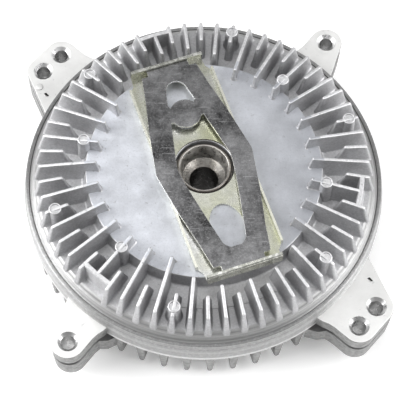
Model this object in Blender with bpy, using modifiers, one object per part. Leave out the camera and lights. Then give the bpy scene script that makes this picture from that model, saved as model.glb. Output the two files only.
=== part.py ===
"""Viscous fan clutch, front fins up, standing on the rear face of its hub flange.

Units are metres, +Z is the turning axis and points out of the front cover.
The origin is the centre of the hub flange's rear face.
"""
import math

import bmesh
import bpy
from mathutils import Matrix

MM = 0.001

# Fits
GAP = 0.3 * MM                    # between faces that touch on the real clutch
RUNNING = 0.9 * MM                # between the rotor and the castings it turns in
OVERSHOOT = 1.0 * MM              # how far a cutter runs past the face it opens

# Hub shaft
HUB_FLANGE_RADIUS = 26.0 * MM
HUB_FLANGE_THICKNESS = 5.0 * MM
HUB_SHOULDER_RADIUS = 18.0 * MM
HUB_SHOULDER_LENGTH = 5.6 * MM
HUB_TUBE_RADIUS = 12.9 * MM
HUB_TUBE_RISE = 0.25 * MM         # the tube's rim stays this far below the plateau
HUB_RIM_WIDTH = 1.2 * MM
HUB_RIM_CHAMFER = 0.6 * MM
HUB_BORE_RADIUS = 6.9 * MM
COUNTERBORE_TAPER = 1.3 * MM
COUNTERBORE_DEPTH = 9.9 * MM
COUNTERSINK_DEPTH = 4.0 * MM
SPIGOT_RADIUS = 11.0 * MM
SPIGOT_DEPTH = 3.0 * MM
SNAP_GROOVE_DEPTH = 1.0 * MM
SNAP_RING_THICKNESS = 1.3 * MM
SNAP_RING_WIDTH = 3.2 * MM
SNAP_RING_OPENING = 5.0 * MM

# Bearing
BEARING_BORE_RADIUS = 15.0 * MM
BEARING_OUTER_RADIUS = 31.0 * MM
BEARING_WIDTH = 16.0 * MM
BALL_SHARE = 0.2875               # ball radius over the height from bore to outside
BALL_COUNT = 9
RIM_SHARE = 0.652                 # rings' rims off the pitch circle, over the ball radius
RACE_SHOULDER = 0.8 * MM
SHIELD_THICKNESS = 0.5 * MM
CAGE_BASE = 0.9 * MM
CAGE_LEAD = 1.4 * MM              # how far the cage reaches past the balls
CAGE_SHARE = 0.565                # cage wall over the ball radius

# Reservoir parts, from the axis outwards
PARTITION_CLEARANCE = 1.9 * MM    # between the shaft's tube and the partition's bore
PARTITION_THICKNESS = 1.2 * MM
PARTITION_LAP = 3.5 * MM
PORT_RADIUS = 2.4 * MM
PORT_LAND = 2.8 * MM
PIN_CIRCLE = 28.0 * MM
PIN_RADIUS = 2.4 * MM
PIN_SEAL_WIDTH = 1.6 * MM
PIN_SEAL_HEIGHT = 1.6 * MM
LEVER_ARM = 14.0 * MM             # from the pin to the lever's pivot
LEVER_THICKNESS = 0.5 * MM
LEVER_TAIL = 3.5 * MM
LEVER_WIDTH = 9.0 * MM
LEVER_COVER = 1.5 * MM            # how far the lever's round end overlaps the port
RESERVOIR_MARGIN = 6.5 * MM       # from the lever's pivot to the reservoir's wall
RIVET_SHANK_RADIUS = 1.5 * MM
RIVET_HEAD_RADIUS = 2.8 * MM
RIVET_HEAD_HEIGHT = 1.1 * MM
RIVET_GRIP = 2.3 * MM

# Rotor disc and housing, from the reservoir outwards
ROTOR_SEAT_STEP = 1.1 * MM        # from the shaft's tube to the rotor's bore
ROTOR_HUB_RADIUS = 22.0 * MM
ROTOR_HUB_CHAMFER = 1.0 * MM
ROTOR_WEB = 3.0 * MM
ROTOR_WEB_DROP = 2.8 * MM
ROTOR_RING_CLEARANCE = 1.5 * MM
ROTOR_RING_THICKNESS = 7.3 * MM
LABYRINTH_OFFSET = 6.5 * MM
LABYRINTH_BAND = 18.0 * MM        # from the labyrinth's circle to the rotor's edge
RIDGE_WIDTH = 2.6 * MM
GROOVE_DEPTH = 4.5 * MM
ROTOR_TIP_GAP = 2.0 * MM
RIM_WALL = 8.0 * MM
RIM_LIP = 2.7 * MM
RIM_CHAMFER = 1.3 * MM
RIM_CHAMFER_DEPTH = 5.2 * MM
CHAMBER_DEPTH = 11.1 * MM         # from the parting line to the floor
BEARING_LIP = 1.7 * MM
HOUSING_WALL = 4.4 * MM
BOSS_WALL = 6.0 * MM
BOSS_DRAFT = 1.0 * MM
REAR_FIN_COUNT = 48
REAR_FIN_DEPTH = 14.5 * MM
REAR_FIN_ROOT = 4.0 * MM
REAR_FIN_TIP = 2.0 * MM
REAR_FIN_START = 9.0 * MM         # from the bearing boss to the fins' inner ends
REAR_FIN_DRAFT = 2.0 * MM
SEAL_SECTION = 1.2 * MM

# Fan lugs
LUG_REACH = 15.84 * MM            # from the housing's rim to the lug holes' circle
LUG_HOLE_RADIUS = 3.4 * MM
LUG_CHAMFER = 1.4 * MM
LUG_TOP_DROP = 6.5 * MM           # lug face below the parting line
LUG_PLATE = 10.0 * MM
LUG_DEPTH = 23.2 * MM
LUG_TIP_RADIUS = 8.3 * MM
LUG_FLARE = 7.2 * MM
LUG_STEP = 0.6 * MM
LUG_ANGLE = math.radians(53.67)
TWIN_HOLE_ANGLE = math.radians(7.24)

# Front cover
COVER_FLANGE_THICKNESS = 3.0 * MM
RIM_GAP = 0.6 * MM
COVER_RIM_WIDTH = 4.1 * MM
COVER_FLOOR_RISE = 5.2 * MM
COVER_CEILING_RISE = 0.6 * MM
PLATEAU_BAND = 8.54 * MM          # from the reservoir's wall to the plateau's edge
PLATEAU_DRAFT = 0.6 * MM
PLATEAU_RISE = 12.63 * MM
PLATEAU_WALL = 3.6 * MM
BUSH_SPACE = 1.5 * MM
BUSH_HEIGHT = 5.0 * MM
BUSH_DROP = 2.3 * MM
COVER_BOSS_WALL = 4.6 * MM
COVER_BOSS_LENGTH = 5.2 * MM

# Front fins
FIN_COUNT = 60
FIN_PHASE = math.radians(2.76)
FIN_TOP_RISE = 18.25 * MM         # fin top above the parting line at FIN_REFERENCE_RADIUS
FIN_REFERENCE_RADIUS = 68.0 * MM
FIN_SLOPE = 0.149
FIN_TOP_WIDTH = 1.7 * MM
FIN_ROOT_WIDTH = 3.4 * MM
FIN_SETBACK = 1.7 * MM
FIN_OUTER_FOOT = 2.8 * MM
LONG_FIN_REACH = 5.39 * MM        # how far the long fins run onto the plateau
LONG_FIN_FOOT = 1.3 * MM
SHORT_FIN_LENGTH = 11.6 * MM
SHORT_FIN_FOOT = 3.0 * MM
FIN_TO_HOLDER_END = 4.7 * MM
FIN_TO_HOLDER_CORNER = 0.6 * MM
EJECTOR_RADIUS = 3.0 * MM
EJECTOR_DRAFT = 0.6 * MM
EJECTOR_PROUD = 0.25 * MM
OUTER_EJECTOR_SETBACK = 5.0 * MM
INNER_EJECTOR_OFFSET = 1.96 * MM
OUTER_EJECTOR_FINS = (3, 13, 23, 33, 43, 53)
INNER_EJECTOR_FINS = (8, 28, 38, 58)
PAD_FINS = (18, 38, 58)
PAD_SETBACK = 5.5 * MM
PAD_THICKNESS = 3.3 * MM

# Bimetal holder
HOLDER_FIN = 18                   # the holder's long axis points along this fin
SHEET = 1.2 * MM
HOLDER_OVERHANG = 0.96 * MM
HOLDER_HALF_WIDTH = 21.7 * MM
HOLDER_SHOULDER = 3.3 * MM
HOLDER_END_ZONE = 8.0 * MM        # length of the narrower ends
HOLDER_HOLE_MARGIN = 0.2 * MM
OVAL_OFFSET = 7.0 * MM            # centre of a window beyond the pin
OVAL_HALF_WIDTH = 8.4 * MM
OVAL_HALF_LENGTH = 13.7 * MM
LIP_WIDTH = 1.9 * MM
HOLDER_RIVET_X = 16.6 * MM
HOLDER_RIVET_Y = 13.5 * MM

# Bimetal plate; places along it are from its ends or from the pin
PLATE_RISE = 4.67 * MM            # plate underside above the plateau
PLATE_HALF_WIDTH = 24.0 * MM
PLATE_WAIST_HALF_LENGTH = 2.5 * MM
PLATE_SHOULDER_HALF_WIDTH = 20.1 * MM
PLATE_SHOULDER_FROM_END = 34.5 * MM
PLATE_NECK_HALF_WIDTH = 16.6 * MM
PLATE_NECK_FROM_END = 19.0 * MM
PLATE_CORNER_HALF_WIDTH = 14.1 * MM
PLATE_CORNER_FROM_END = 5.0 * MM
PLATE_TAB_HALF_WIDTH = 10.6 * MM
BRIDGE_RADIUS = 7.6 * MM
BRIDGE_LOBE = 67.0                # degrees each side, towards the window
BRIDGE_CROWN = 55.0               # degrees each side, towards the D-shaped hole
D_HOLE_NECK_HALF_WIDTH = 6.8 * MM
D_HOLE_NECK_FROM_PIN = 6.0 * MM
D_HOLE_RADIUS = 5.1 * MM
D_HOLE_TOP_FROM_PIN = 18.5 * MM
WINDOW_CUSP_HALF_WIDTH = 8.4 * MM
WINDOW_CUSP_FROM_PIN = 3.1 * MM
WINDOW_HALF_WIDTH = 13.5 * MM
WINDOW_EASE = 0.5 * MM            # how much the window narrows across the hub
WINDOW_WAIST_Y = (1.0 * MM, -5.0 * MM)
WINDOW_TAPER_HALF_WIDTH = 7.9 * MM
WINDOW_TAPER_FROM_END = 25.9 * MM
WINDOW_END_HALF_WIDTH = 4.6 * MM
WINDOW_END_FROM_END = 12.4 * MM
WINDOW_END_ROUND = 1.0 * MM

# Facets of the turned pieces
COVER_STEPS = 40
HOUSING_STEPS = 36
ROTOR_STEPS = 24
HUB_STEPS = 20
SMALL_STEPS = 10
RIVET_STEPS = 8

# Radii worked out from the sizes above
counterbore_radius = HUB_TUBE_RADIUS - HUB_RIM_WIDTH
counterbore_floor_radius = counterbore_radius - COUNTERBORE_TAPER
snap_groove_radius = HUB_TUBE_RADIUS - SNAP_GROOVE_DEPTH
cover_bore_radius = HUB_TUBE_RADIUS + BUSH_SPACE
cover_boss_radius = cover_bore_radius + COVER_BOSS_WALL
holder_hole_radius = cover_bore_radius + HOLDER_HOLE_MARGIN
partition_bore_radius = HUB_TUBE_RADIUS + PARTITION_CLEARANCE
rotor_bore_radius = HUB_TUBE_RADIUS + ROTOR_SEAT_STEP
ball_circle = (BEARING_BORE_RADIUS + BEARING_OUTER_RADIUS) / 2
ball_radius = BALL_SHARE * (BEARING_OUTER_RADIUS - BEARING_BORE_RADIUS)
race_inner_radius = ball_circle - RIM_SHARE * ball_radius
race_outer_radius = ball_circle + RIM_SHARE * ball_radius
cage_wall = CAGE_SHARE * ball_radius
port_circle = partition_bore_radius + PORT_LAND + PORT_RADIUS
lever_pivot = PIN_CIRCLE + LEVER_ARM
reservoir_radius = lever_pivot + RESERVOIR_MARGIN
partition_radius = reservoir_radius + PARTITION_LAP
rotor_ring_inner_radius = partition_radius + ROTOR_RING_CLEARANCE
labyrinth_radius = rotor_ring_inner_radius + LABYRINTH_OFFSET
rotor_radius = labyrinth_radius + LABYRINTH_BAND
chamber_radius = rotor_radius + ROTOR_TIP_GAP
housing_radius = chamber_radius + RIM_WALL
rim_radius = housing_radius - RIM_LIP
boss_radius = BEARING_OUTER_RADIUS + BOSS_WALL
rear_fin_inner_radius = boss_radius + REAR_FIN_START
lug_hole_circle = housing_radius + LUG_REACH
cover_floor_radius = rim_radius - COVER_RIM_WIDTH
plateau_radius = reservoir_radius + PLATEAU_BAND
fin_outer_radius = cover_floor_radius - FIN_SETBACK
long_fin_radius = plateau_radius - LONG_FIN_REACH
short_fin_radius = fin_outer_radius - SHORT_FIN_LENGTH
outer_ejector_circle = fin_outer_radius - OUTER_EJECTOR_SETBACK
inner_ejector_circle = plateau_radius + INNER_EJECTOR_OFFSET
pad_inner_radius = fin_outer_radius - PAD_SETBACK
holder_half_length = plateau_radius + HOLDER_OVERHANG
holder_flange_half_length = holder_half_length - HOLDER_END_ZONE
holder_end_half_width = HOLDER_HALF_WIDTH - HOLDER_SHOULDER
oval_centre = PIN_CIRCLE + OVAL_OFFSET
rivet_places = ((HOLDER_RIVET_X, HOLDER_RIVET_Y), (-HOLDER_RIVET_X, HOLDER_RIVET_Y),
                (-HOLDER_RIVET_X, -HOLDER_RIVET_Y), (HOLDER_RIVET_X, -HOLDER_RIVET_Y))

# Heights worked out from the sizes above
bearing_bottom = HUB_FLANGE_THICKNESS + HUB_SHOULDER_LENGTH + GAP
bearing_top = bearing_bottom + BEARING_WIDTH
bearing_middle = (bearing_bottom + bearing_top) / 2
lip_bottom = bearing_top + GAP
chamber_floor = lip_bottom + BEARING_LIP
parting = chamber_floor + CHAMBER_DEPTH
back_face = chamber_floor - HOUSING_WALL
boss_end = HUB_FLANGE_THICKNESS + GAP / 2
rear_fin_end = back_face - REAR_FIN_DEPTH
seat = parting - COVER_FLANGE_THICKNESS - GAP
cover_floor = parting + COVER_FLOOR_RISE
cover_ceiling = parting + COVER_CEILING_RISE
plateau = parting + PLATEAU_RISE
reservoir_ceiling = plateau - PLATEAU_WALL
partition_top = cover_ceiling - GAP
partition_bottom = partition_top - PARTITION_THICKNESS
rotor_front = cover_ceiling - RUNNING
rotor_rear = rotor_front - ROTOR_RING_THICKNESS
groove_floor = rotor_rear + GROOVE_DEPTH
ridge_top = groove_floor - RUNNING
web_top = rotor_front - ROTOR_WEB_DROP
snap_ring_top = partition_bottom - GAP
rotor_hub_top = snap_ring_top - SNAP_RING_THICKNESS - GAP
lever_bottom = partition_top + GAP
lever_top = lever_bottom + LEVER_THICKNESS
lug_top = parting - LUG_TOP_DROP
holder_bottom = plateau + GAP
holder_top = holder_bottom + SHEET
plate_bottom = plateau + PLATE_RISE
plate_top = plate_bottom + SHEET
lip_underside = plate_top + GAP
hub_top = plateau - HUB_TUBE_RISE
fin_pitch = math.tau / FIN_COUNT
holder_angle = FIN_PHASE + HOLDER_FIN * fin_pitch - math.pi / 2

COLOURS = {
    "cast_aluminium": ((0.55, 0.55, 0.56, 1), 0.5, 0.9),
    "rear_aluminium": ((0.66, 0.66, 0.65, 1), 0.5, 0.9),
    "zinc_steel": ((0.55, 0.55, 0.40, 1), 0.38, 0.9),
    "bimetal": ((0.10, 0.10, 0.115, 1), 0.45, 0.7),
    "hub_steel": ((0.16, 0.14, 0.135, 1), 0.35, 0.9),
    "bright_steel": ((0.60, 0.60, 0.61, 1), 0.25, 1.0),
    "pressed_steel": ((0.42, 0.42, 0.41, 1), 0.4, 0.9),
    "rotor_aluminium": ((0.62, 0.62, 0.63, 1), 0.4, 0.9),
    "rubber": ((0.03, 0.03, 0.03, 1), 0.7, 0.0),
    "bush_plastic": ((0.05, 0.05, 0.05, 1), 0.6, 0.0),
    "cage_plastic": ((0.45, 0.38, 0.24, 1), 0.5, 0.0),
}


def clear_scene():
    for item in list(bpy.data.objects):
        bpy.data.objects.remove(item, do_unlink=True)


def make_collection(name):
    collection = bpy.data.collections.new(name)
    bpy.context.scene.collection.children.link(collection)
    return collection


def material(name):
    colour, roughness, metallic = COLOURS[name]
    found = bpy.data.materials.get(name)
    if found:
        return found
    made = bpy.data.materials.new(name)
    made.use_nodes = True
    shader = made.node_tree.nodes["Principled BSDF"]
    shader.inputs["Base Color"].default_value = colour
    shader.inputs["Roughness"].default_value = roughness
    shader.inputs["Metallic"].default_value = metallic
    return made


def empty(name, location=(0, 0, 0), turn=0.0, parent=None):
    made = bpy.data.objects.new(name, None)
    made.location = location
    made.rotation_euler[2] = turn
    made.parent = parent
    PARTS.objects.link(made)
    return made


def link_mesh(name, shape, collection, location=(0, 0, 0), turn=0.0, parent=None):
    mesh = bpy.data.meshes.new(name)
    shape.to_mesh(mesh)
    shape.free()
    made = bpy.data.objects.new(name, mesh)
    made.location = location
    made.rotation_euler[2] = turn
    made.parent = parent
    collection.objects.link(made)
    return made


def cutter(name, shape, **place):
    made = link_mesh(name, shape, CUTTERS, **place)
    made.hide_render = True
    made.display_type = "WIRE"
    return made


def boolean(target, tool, operation):
    step = target.modifiers.new(f"{operation.lower()} {tool.name}", "BOOLEAN")
    step.operation = operation
    step.solver = "EXACT"
    step.object = tool


def turned(name, profile, steps, collection=None, **place):
    """Turns a closed outline of (radius, height) points about the Z axis."""
    area = sum(a[0] * b[1] - b[0] * a[1] for a, b in zip(profile, profile[1:] + profile[:1]))
    outline = profile if area < 0 else profile[::-1]
    shape = bmesh.new()
    verts = [shape.verts.new((radius, 0, height)) for radius, height in outline]
    for first, second in zip(verts, verts[1:] + verts[:1]):
        shape.edges.new((first, second))
    made = link_mesh(name, shape, collection or PARTS, **place)
    screw = made.modifiers.new("turn", "SCREW")
    screw.steps = steps
    screw.render_steps = steps
    screw.use_merge_vertices = True
    screw.merge_threshold = 0.01 * MM
    return made


def turn_profile(made, angle):
    """Moves the facet edges round, so that they fall between the fins."""
    made.data.transform(Matrix.Rotation(angle, 4, "Z"))


def cylinder(radius, bottom, top, steps, foot_radius=None, place=(0, 0)):
    shape = bmesh.new()
    bmesh.ops.create_cone(shape, cap_ends=True, segments=steps, depth=top - bottom,
                          radius1=foot_radius or radius, radius2=radius)
    bmesh.ops.translate(shape, verts=shape.verts, vec=(*place, (top + bottom) / 2))
    return shape


def box(low, high):
    shape = bmesh.new()
    bmesh.ops.create_cube(shape, size=1)
    for vert in shape.verts:
        vert.co = [low[k] if vert.co[k] < 0 else high[k] for k in range(3)]
    return shape


def slab(outline, bottom, top):
    """A flat outline of (x, y) points, raised from bottom to top."""
    shape = bmesh.new()
    face = shape.faces.new([shape.verts.new((x, y, bottom)) for x, y in outline])
    face.normal_update()
    if face.normal.z > 0:
        face.normal_flip()
    raised = bmesh.ops.extrude_face_region(shape, geom=[face])
    moved = [item for item in raised["geom"] if isinstance(item, bmesh.types.BMVert)]
    bmesh.ops.translate(shape, verts=moved, vec=(0, 0, top - bottom))
    bmesh.ops.recalc_face_normals(shape, faces=shape.faces)
    return shape


def arc(centre, radius, start, end, count):
    """Points on an arc, both ends among them; angles in degrees."""
    turns = [math.radians(start + (end - start) * k / (count - 1)) for k in range(count)]
    return [(centre[0] + radius * math.cos(a), centre[1] + radius * math.sin(a)) for a in turns]


def merged(shapes):
    """Joins shapes that don't meet into one cutter or tool shape."""
    whole = bmesh.new()
    for shape in shapes:
        mesh = bpy.data.meshes.new("piece")
        shape.to_mesh(mesh)
        shape.free()
        whole.from_mesh(mesh)
        bpy.data.meshes.remove(mesh)
    return whole


def finish(made, material_name, crease=30.0):
    """Applies the modifiers, shades round faces smooth and sets the material."""
    bpy.context.view_layer.update()
    graph = bpy.context.evaluated_depsgraph_get()
    mesh = bpy.data.meshes.new_from_object(made.evaluated_get(graph))
    mesh.name = made.name
    made.modifiers.clear()
    made.data = mesh
    mesh.materials.clear()
    mesh.materials.append(material(material_name))
    mesh.shade_smooth()
    mesh.set_sharp_from_angle(angle=math.radians(crease))
    return made


def fin_top(radius):
    """Height of the front fins' sloping tops at a radius."""
    return parting + FIN_TOP_RISE - FIN_SLOPE * (radius - FIN_REFERENCE_RADIUS)


def radial_wedge(angle, top, root, bottom, top_ends, root_ends, heights):
    """A drafted rib along a radius: top and root widths, and the radii of its ends."""
    shape = bmesh.new()
    bmesh.ops.create_cube(shape, size=1)
    for vert in shape.verts:
        upper = vert.co.z > 0
        ends = top_ends if upper else root_ends
        outer = vert.co.x > 0
        side = math.copysign((top if upper else root) / 2, vert.co.y)
        vert.co = (ends[outer], side, heights[outer] if upper else bottom)
    turn_about(shape, angle)
    return shape


def turn_about(shape, angle, axis="Z"):
    bmesh.ops.rotate(shape, verts=shape.verts, cent=(0, 0, 0), matrix=Matrix.Rotation(angle, 3, axis))


def fin_inner_radius(index):
    """Long fins alternate with short ones, and stop short of the holder's ends."""
    if index % 2:
        return short_fin_radius
    from_holder = abs((index - HOLDER_FIN + FIN_COUNT // 4) % (FIN_COUNT // 2) - FIN_COUNT // 4)
    if from_holder <= 2:
        return holder_half_length + FIN_TO_HOLDER_END
    if from_holder <= 4:
        return holder_half_length + FIN_TO_HOLDER_CORNER
    return long_fin_radius


def front_fins():
    shapes = []
    for index in range(FIN_COUNT):
        inner = fin_inner_radius(index)
        foot = SHORT_FIN_FOOT if index % 2 else LONG_FIN_FOOT
        outer = pad_inner_radius + PAD_THICKNESS / 2 if index in PAD_FINS else fin_outer_radius
        outer_foot = outer if index in PAD_FINS else outer + FIN_OUTER_FOOT
        shapes.append(radial_wedge(
            FIN_PHASE + index * fin_pitch, FIN_TOP_WIDTH, FIN_ROOT_WIDTH, cover_floor - GAP,
            (inner, outer), (inner - foot, outer_foot), (fin_top(inner), fin_top(outer))))
    return merged(shapes)


def ejector_bosses():
    shapes = []
    for circle, fins in ((outer_ejector_circle, OUTER_EJECTOR_FINS),
                         (inner_ejector_circle, INNER_EJECTOR_FINS)):
        for index in fins:
            angle = FIN_PHASE + index * fin_pitch
            place = (circle * math.cos(angle), circle * math.sin(angle))
            shapes.append(cylinder(EJECTOR_RADIUS, cover_floor - 2 * GAP, fin_top(circle) + EJECTOR_PROUD,
                                   8, EJECTOR_RADIUS + EJECTOR_DRAFT, place))
    return merged(shapes)


def cover_pads():
    """Short walls that join three fins near the rim."""
    outer = pad_inner_radius + PAD_THICKNESS
    shapes = []
    for index in PAD_FINS:
        middle = FIN_PHASE + index * fin_pitch
        angles = [middle + fin_pitch * step for step in (-1.02, 0, 1.02)]
        outline = [(outer * math.cos(a), outer * math.sin(a)) for a in angles]
        outline += [(pad_inner_radius * math.cos(a), pad_inner_radius * math.sin(a)) for a in angles[::-1]]
        shapes.append(slab(outline, cover_floor - 3 * GAP, fin_top(pad_inner_radius) - GAP))
    return merged(shapes)


def build_front_cover():
    flange_radius = rim_radius - RIM_GAP
    flange_bottom = parting - COVER_FLANGE_THICKNESS
    corner = SEAL_SECTION + 2 * GAP
    shoulder = (flange_radius - cover_floor_radius) / 3
    boss_tip = reservoir_ceiling - COVER_BOSS_LENGTH
    profile = [
        (flange_radius - corner, flange_bottom), (flange_radius, flange_bottom + corner),
        (flange_radius, parting), (cover_floor_radius + shoulder, parting + 2 * shoulder),
        (cover_floor_radius, cover_floor), (plateau_radius + PLATEAU_DRAFT, cover_floor),
        (plateau_radius, plateau), (cover_bore_radius, plateau), (cover_bore_radius, boss_tip),
        (cover_boss_radius, boss_tip), (cover_boss_radius, reservoir_ceiling),
        (reservoir_radius, reservoir_ceiling), (reservoir_radius, cover_ceiling),
        (chamber_radius - GAP, cover_ceiling), (chamber_radius + GAP, flange_bottom)]
    cover = turned("front_cover", profile, COVER_STEPS)
    turn_profile(cover, FIN_PHASE + fin_pitch / 4)
    for name, shape in (("fin blank", front_fins()), ("pad blank", cover_pads()),
                        ("ejector blank", ejector_bosses())):
        boolean(cover, cutter(name, shape), "UNION")
    above = plateau + OVERSHOOT
    holes = [cylinder(PIN_RADIUS + GAP, reservoir_ceiling - OVERSHOOT, above, SMALL_STEPS,
                      place=(0, PIN_CIRCLE))]
    holes += [cylinder(RIVET_SHANK_RADIUS + GAP, plateau - RIVET_GRIP - GAP, above, RIVET_STEPS, place=place)
              for place in rivet_places]
    boolean(cover, cutter("plateau holes", merged(holes), turn=holder_angle), "DIFFERENCE")
    pocket = cylinder(PIN_RADIUS + PIN_SEAL_WIDTH + 2 * GAP, plateau - PIN_SEAL_HEIGHT - GAP, above,
                      SMALL_STEPS, place=(0, PIN_CIRCLE))
    boolean(cover, cutter("pin seal pocket", pocket, turn=holder_angle), "DIFFERENCE")
    return finish(cover, "cast_aluminium")


def rear_fins():
    inner, outer = rear_fin_inner_radius, housing_radius - 2.5 * GAP
    root = back_face + GAP
    shapes = []
    for index in range(REAR_FIN_COUNT):
        angle = (index + 0.5) * math.tau / REAR_FIN_COUNT
        shapes.append(radial_wedge(angle, REAR_FIN_ROOT, REAR_FIN_TIP, rear_fin_end, (inner, outer),
                                   (inner + REAR_FIN_DRAFT, outer - REAR_FIN_DRAFT / 2), (root, root)))
    return merged(shapes)


def lug_outline(half_width, inset):
    """Outline of a lug, x along the rim and y outwards; its right flank flares into the rim."""
    tip = LUG_TIP_RADIUS - inset
    root = (chamber_radius + housing_radius) / 2
    straight = half_width + tip
    flare = half_width * 0.4 + LUG_FLARE - inset
    right = arc((half_width, lug_hole_circle), tip, 38, 90, 3)
    left = arc((-half_width, lug_hole_circle), tip, 90, 180, 4)
    if half_width == 0:
        left = left[1:]
    return ([(straight + flare, root), (straight + flare * 0.8, housing_radius + inset)] + right + left +
            [(-straight, lug_hole_circle - tip), (-straight - LUG_FLARE / 3, root)])


def lug(angle, half_width, mirror):
    """A fan lug: a face plate on a slightly narrower deep web."""
    middle = lug_top - LUG_PLATE
    shapes = []
    for inset, bottom, upper in ((0, middle, lug_top), (LUG_STEP, lug_top - LUG_DEPTH, middle + GAP)):
        outline = [(-x if mirror else x, y) for x, y in lug_outline(half_width, inset)]
        shapes.append(slab(outline, bottom, upper))
    for shape in shapes:
        turn_about(shape, angle - math.pi / 2)
    return shapes


def lug_places():
    """Angle, half distance between the holes, and which flank flares, of each lug."""
    half = lug_hole_circle * math.sin(TWIN_HOLE_ANGLE / 2)
    places = []
    for k in range(4):
        twin = k % 2 == 1
        angle = LUG_ANGLE + k * math.pi / 2 - (TWIN_HOLE_ANGLE / 2 if twin else 0)
        places.append((angle, half if twin else 0.0, twin))
    return places


def lug_holes():
    """Holes with a chamfer at the lug's face, one or two to a lug."""
    drilled, chamfered = [], []
    for k in range(4):
        for twin in range(1 + k % 2):
            angle = LUG_ANGLE + k * math.pi / 2 - twin * TWIN_HOLE_ANGLE
            place = (lug_hole_circle * math.cos(angle), lug_hole_circle * math.sin(angle))
            drilled.append(cylinder(LUG_HOLE_RADIUS, lug_top - LUG_DEPTH - OVERSHOOT, lug_top + OVERSHOOT,
                                    SMALL_STEPS, place=place))
            chamfered.append(cylinder(LUG_HOLE_RADIUS + LUG_CHAMFER + GAP, lug_top - LUG_CHAMFER,
                                      lug_top + GAP, SMALL_STEPS, LUG_HOLE_RADIUS, place))
    return merged(drilled), merged(chamfered)


def build_rear_housing():
    outer = housing_radius
    bore = BEARING_OUTER_RADIUS + GAP
    inner, ridge = ROTOR_HUB_RADIUS + RUNNING, RIDGE_WIDTH / 2
    lip_top = parting + 2 * GAP
    profile = [
        (rim_radius, seat), (rim_radius, lip_top), (outer - RIM_CHAMFER, lip_top),
        (outer, parting - RIM_CHAMFER_DEPTH), (outer, back_face), (boss_radius, back_face),
        (boss_radius - BOSS_DRAFT, boss_end), (bore, boss_end),
        (bore, lip_bottom), (inner, lip_bottom), (inner, chamber_floor),
        (labyrinth_radius - ridge, chamber_floor), (labyrinth_radius - ridge, ridge_top),
        (labyrinth_radius + ridge, ridge_top), (labyrinth_radius + ridge, chamber_floor),
        (chamber_radius, chamber_floor), (chamber_radius, seat)]
    housing = turned("rear_housing", profile, HOUSING_STEPS)
    boolean(housing, cutter("rear fin blank", rear_fins()), "UNION")
    tiers = list(zip(*(lug(*place) for place in lug_places())))
    for name, shapes in zip(("lug plate blank", "lug web blank"), tiers):
        boolean(housing, cutter(name, merged(shapes)), "UNION")
    drilled, chamfered = lug_holes()
    boolean(housing, cutter("lug drill", drilled), "DIFFERENCE")
    boolean(housing, cutter("lug countersink", chamfered), "DIFFERENCE")
    return finish(housing, "rear_aluminium")


def build_hub_shaft():
    journal = BEARING_BORE_RADIUS - GAP
    rotor_seat = rotor_bore_radius - GAP
    groove_top = snap_ring_top + GAP
    chamfer = HUB_RIM_CHAMFER
    cone_top = hub_top - COUNTERBORE_DEPTH
    profile = [
        (SPIGOT_RADIUS, 0), (HUB_FLANGE_RADIUS, 0), (HUB_FLANGE_RADIUS, HUB_FLANGE_THICKNESS),
        (HUB_SHOULDER_RADIUS, HUB_FLANGE_THICKNESS), (HUB_SHOULDER_RADIUS, bearing_bottom - GAP),
        (journal, bearing_bottom - GAP), (journal, bearing_top), (rotor_seat, bearing_top),
        (rotor_seat, rotor_hub_top), (snap_groove_radius, rotor_hub_top),
        (snap_groove_radius, groove_top), (HUB_TUBE_RADIUS, groove_top),
        (HUB_TUBE_RADIUS, hub_top - chamfer), (HUB_TUBE_RADIUS - chamfer, hub_top),
        (counterbore_radius, hub_top), (counterbore_floor_radius, cone_top),
        (HUB_BORE_RADIUS, cone_top - COUNTERSINK_DEPTH), (HUB_BORE_RADIUS, SPIGOT_DEPTH),
        (SPIGOT_RADIUS, SPIGOT_DEPTH)]
    return finish(turned("hub_shaft", profile, HUB_STEPS), "hub_steel")


def build_rotor_disc():
    web_bottom = web_top - ROTOR_WEB
    groove = RIDGE_WIDTH / 2 + RUNNING
    profile = [
        (rotor_bore_radius, bearing_top + GAP), (ROTOR_HUB_RADIUS, bearing_top + GAP),
        (ROTOR_HUB_RADIUS, web_bottom), (rotor_ring_inner_radius, web_bottom),
        (rotor_ring_inner_radius, rotor_rear), (labyrinth_radius - groove, rotor_rear),
        (labyrinth_radius - groove, groove_floor), (labyrinth_radius + groove, groove_floor),
        (labyrinth_radius + groove, rotor_rear), (rotor_radius, rotor_rear), (rotor_radius, rotor_front),
        (rotor_ring_inner_radius, rotor_front), (rotor_ring_inner_radius, web_top),
        (ROTOR_HUB_RADIUS, web_top), (ROTOR_HUB_RADIUS - ROTOR_HUB_CHAMFER, rotor_hub_top),
        (rotor_bore_radius, rotor_hub_top)]
    return finish(turned("rotor_disc", profile, ROTOR_STEPS), "rotor_aluminium")


def ring(name, inner, outer, bottom, top, material_name, steps=HUB_STEPS, **place):
    """A plain ring of rectangular section."""
    profile = [(inner, bottom), (outer, bottom), (outer, top), (inner, top)]
    return finish(turned(name, profile, steps, **place), material_name)


def build_snap_ring():
    """A flat retaining ring with an open gap, in the shaft's groove over the rotor."""
    inner = snap_groove_radius + GAP
    outer = inner + SNAP_RING_WIDTH
    bottom = snap_ring_top - SNAP_RING_THICKNESS
    profile = [(inner, bottom), (outer, bottom), (outer, snap_ring_top), (inner, snap_ring_top)]
    made = turned("rotor_snap_ring", profile, 2 * RIVET_STEPS)
    half = SNAP_RING_OPENING / 2
    opening = box((inner / 2, -half, bottom - OVERSHOOT),
                  (outer + OVERSHOOT, half, snap_ring_top + OVERSHOOT))
    boolean(made, cutter("snap ring opening", opening), "DIFFERENCE")
    return finish(made, "bright_steel")


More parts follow.
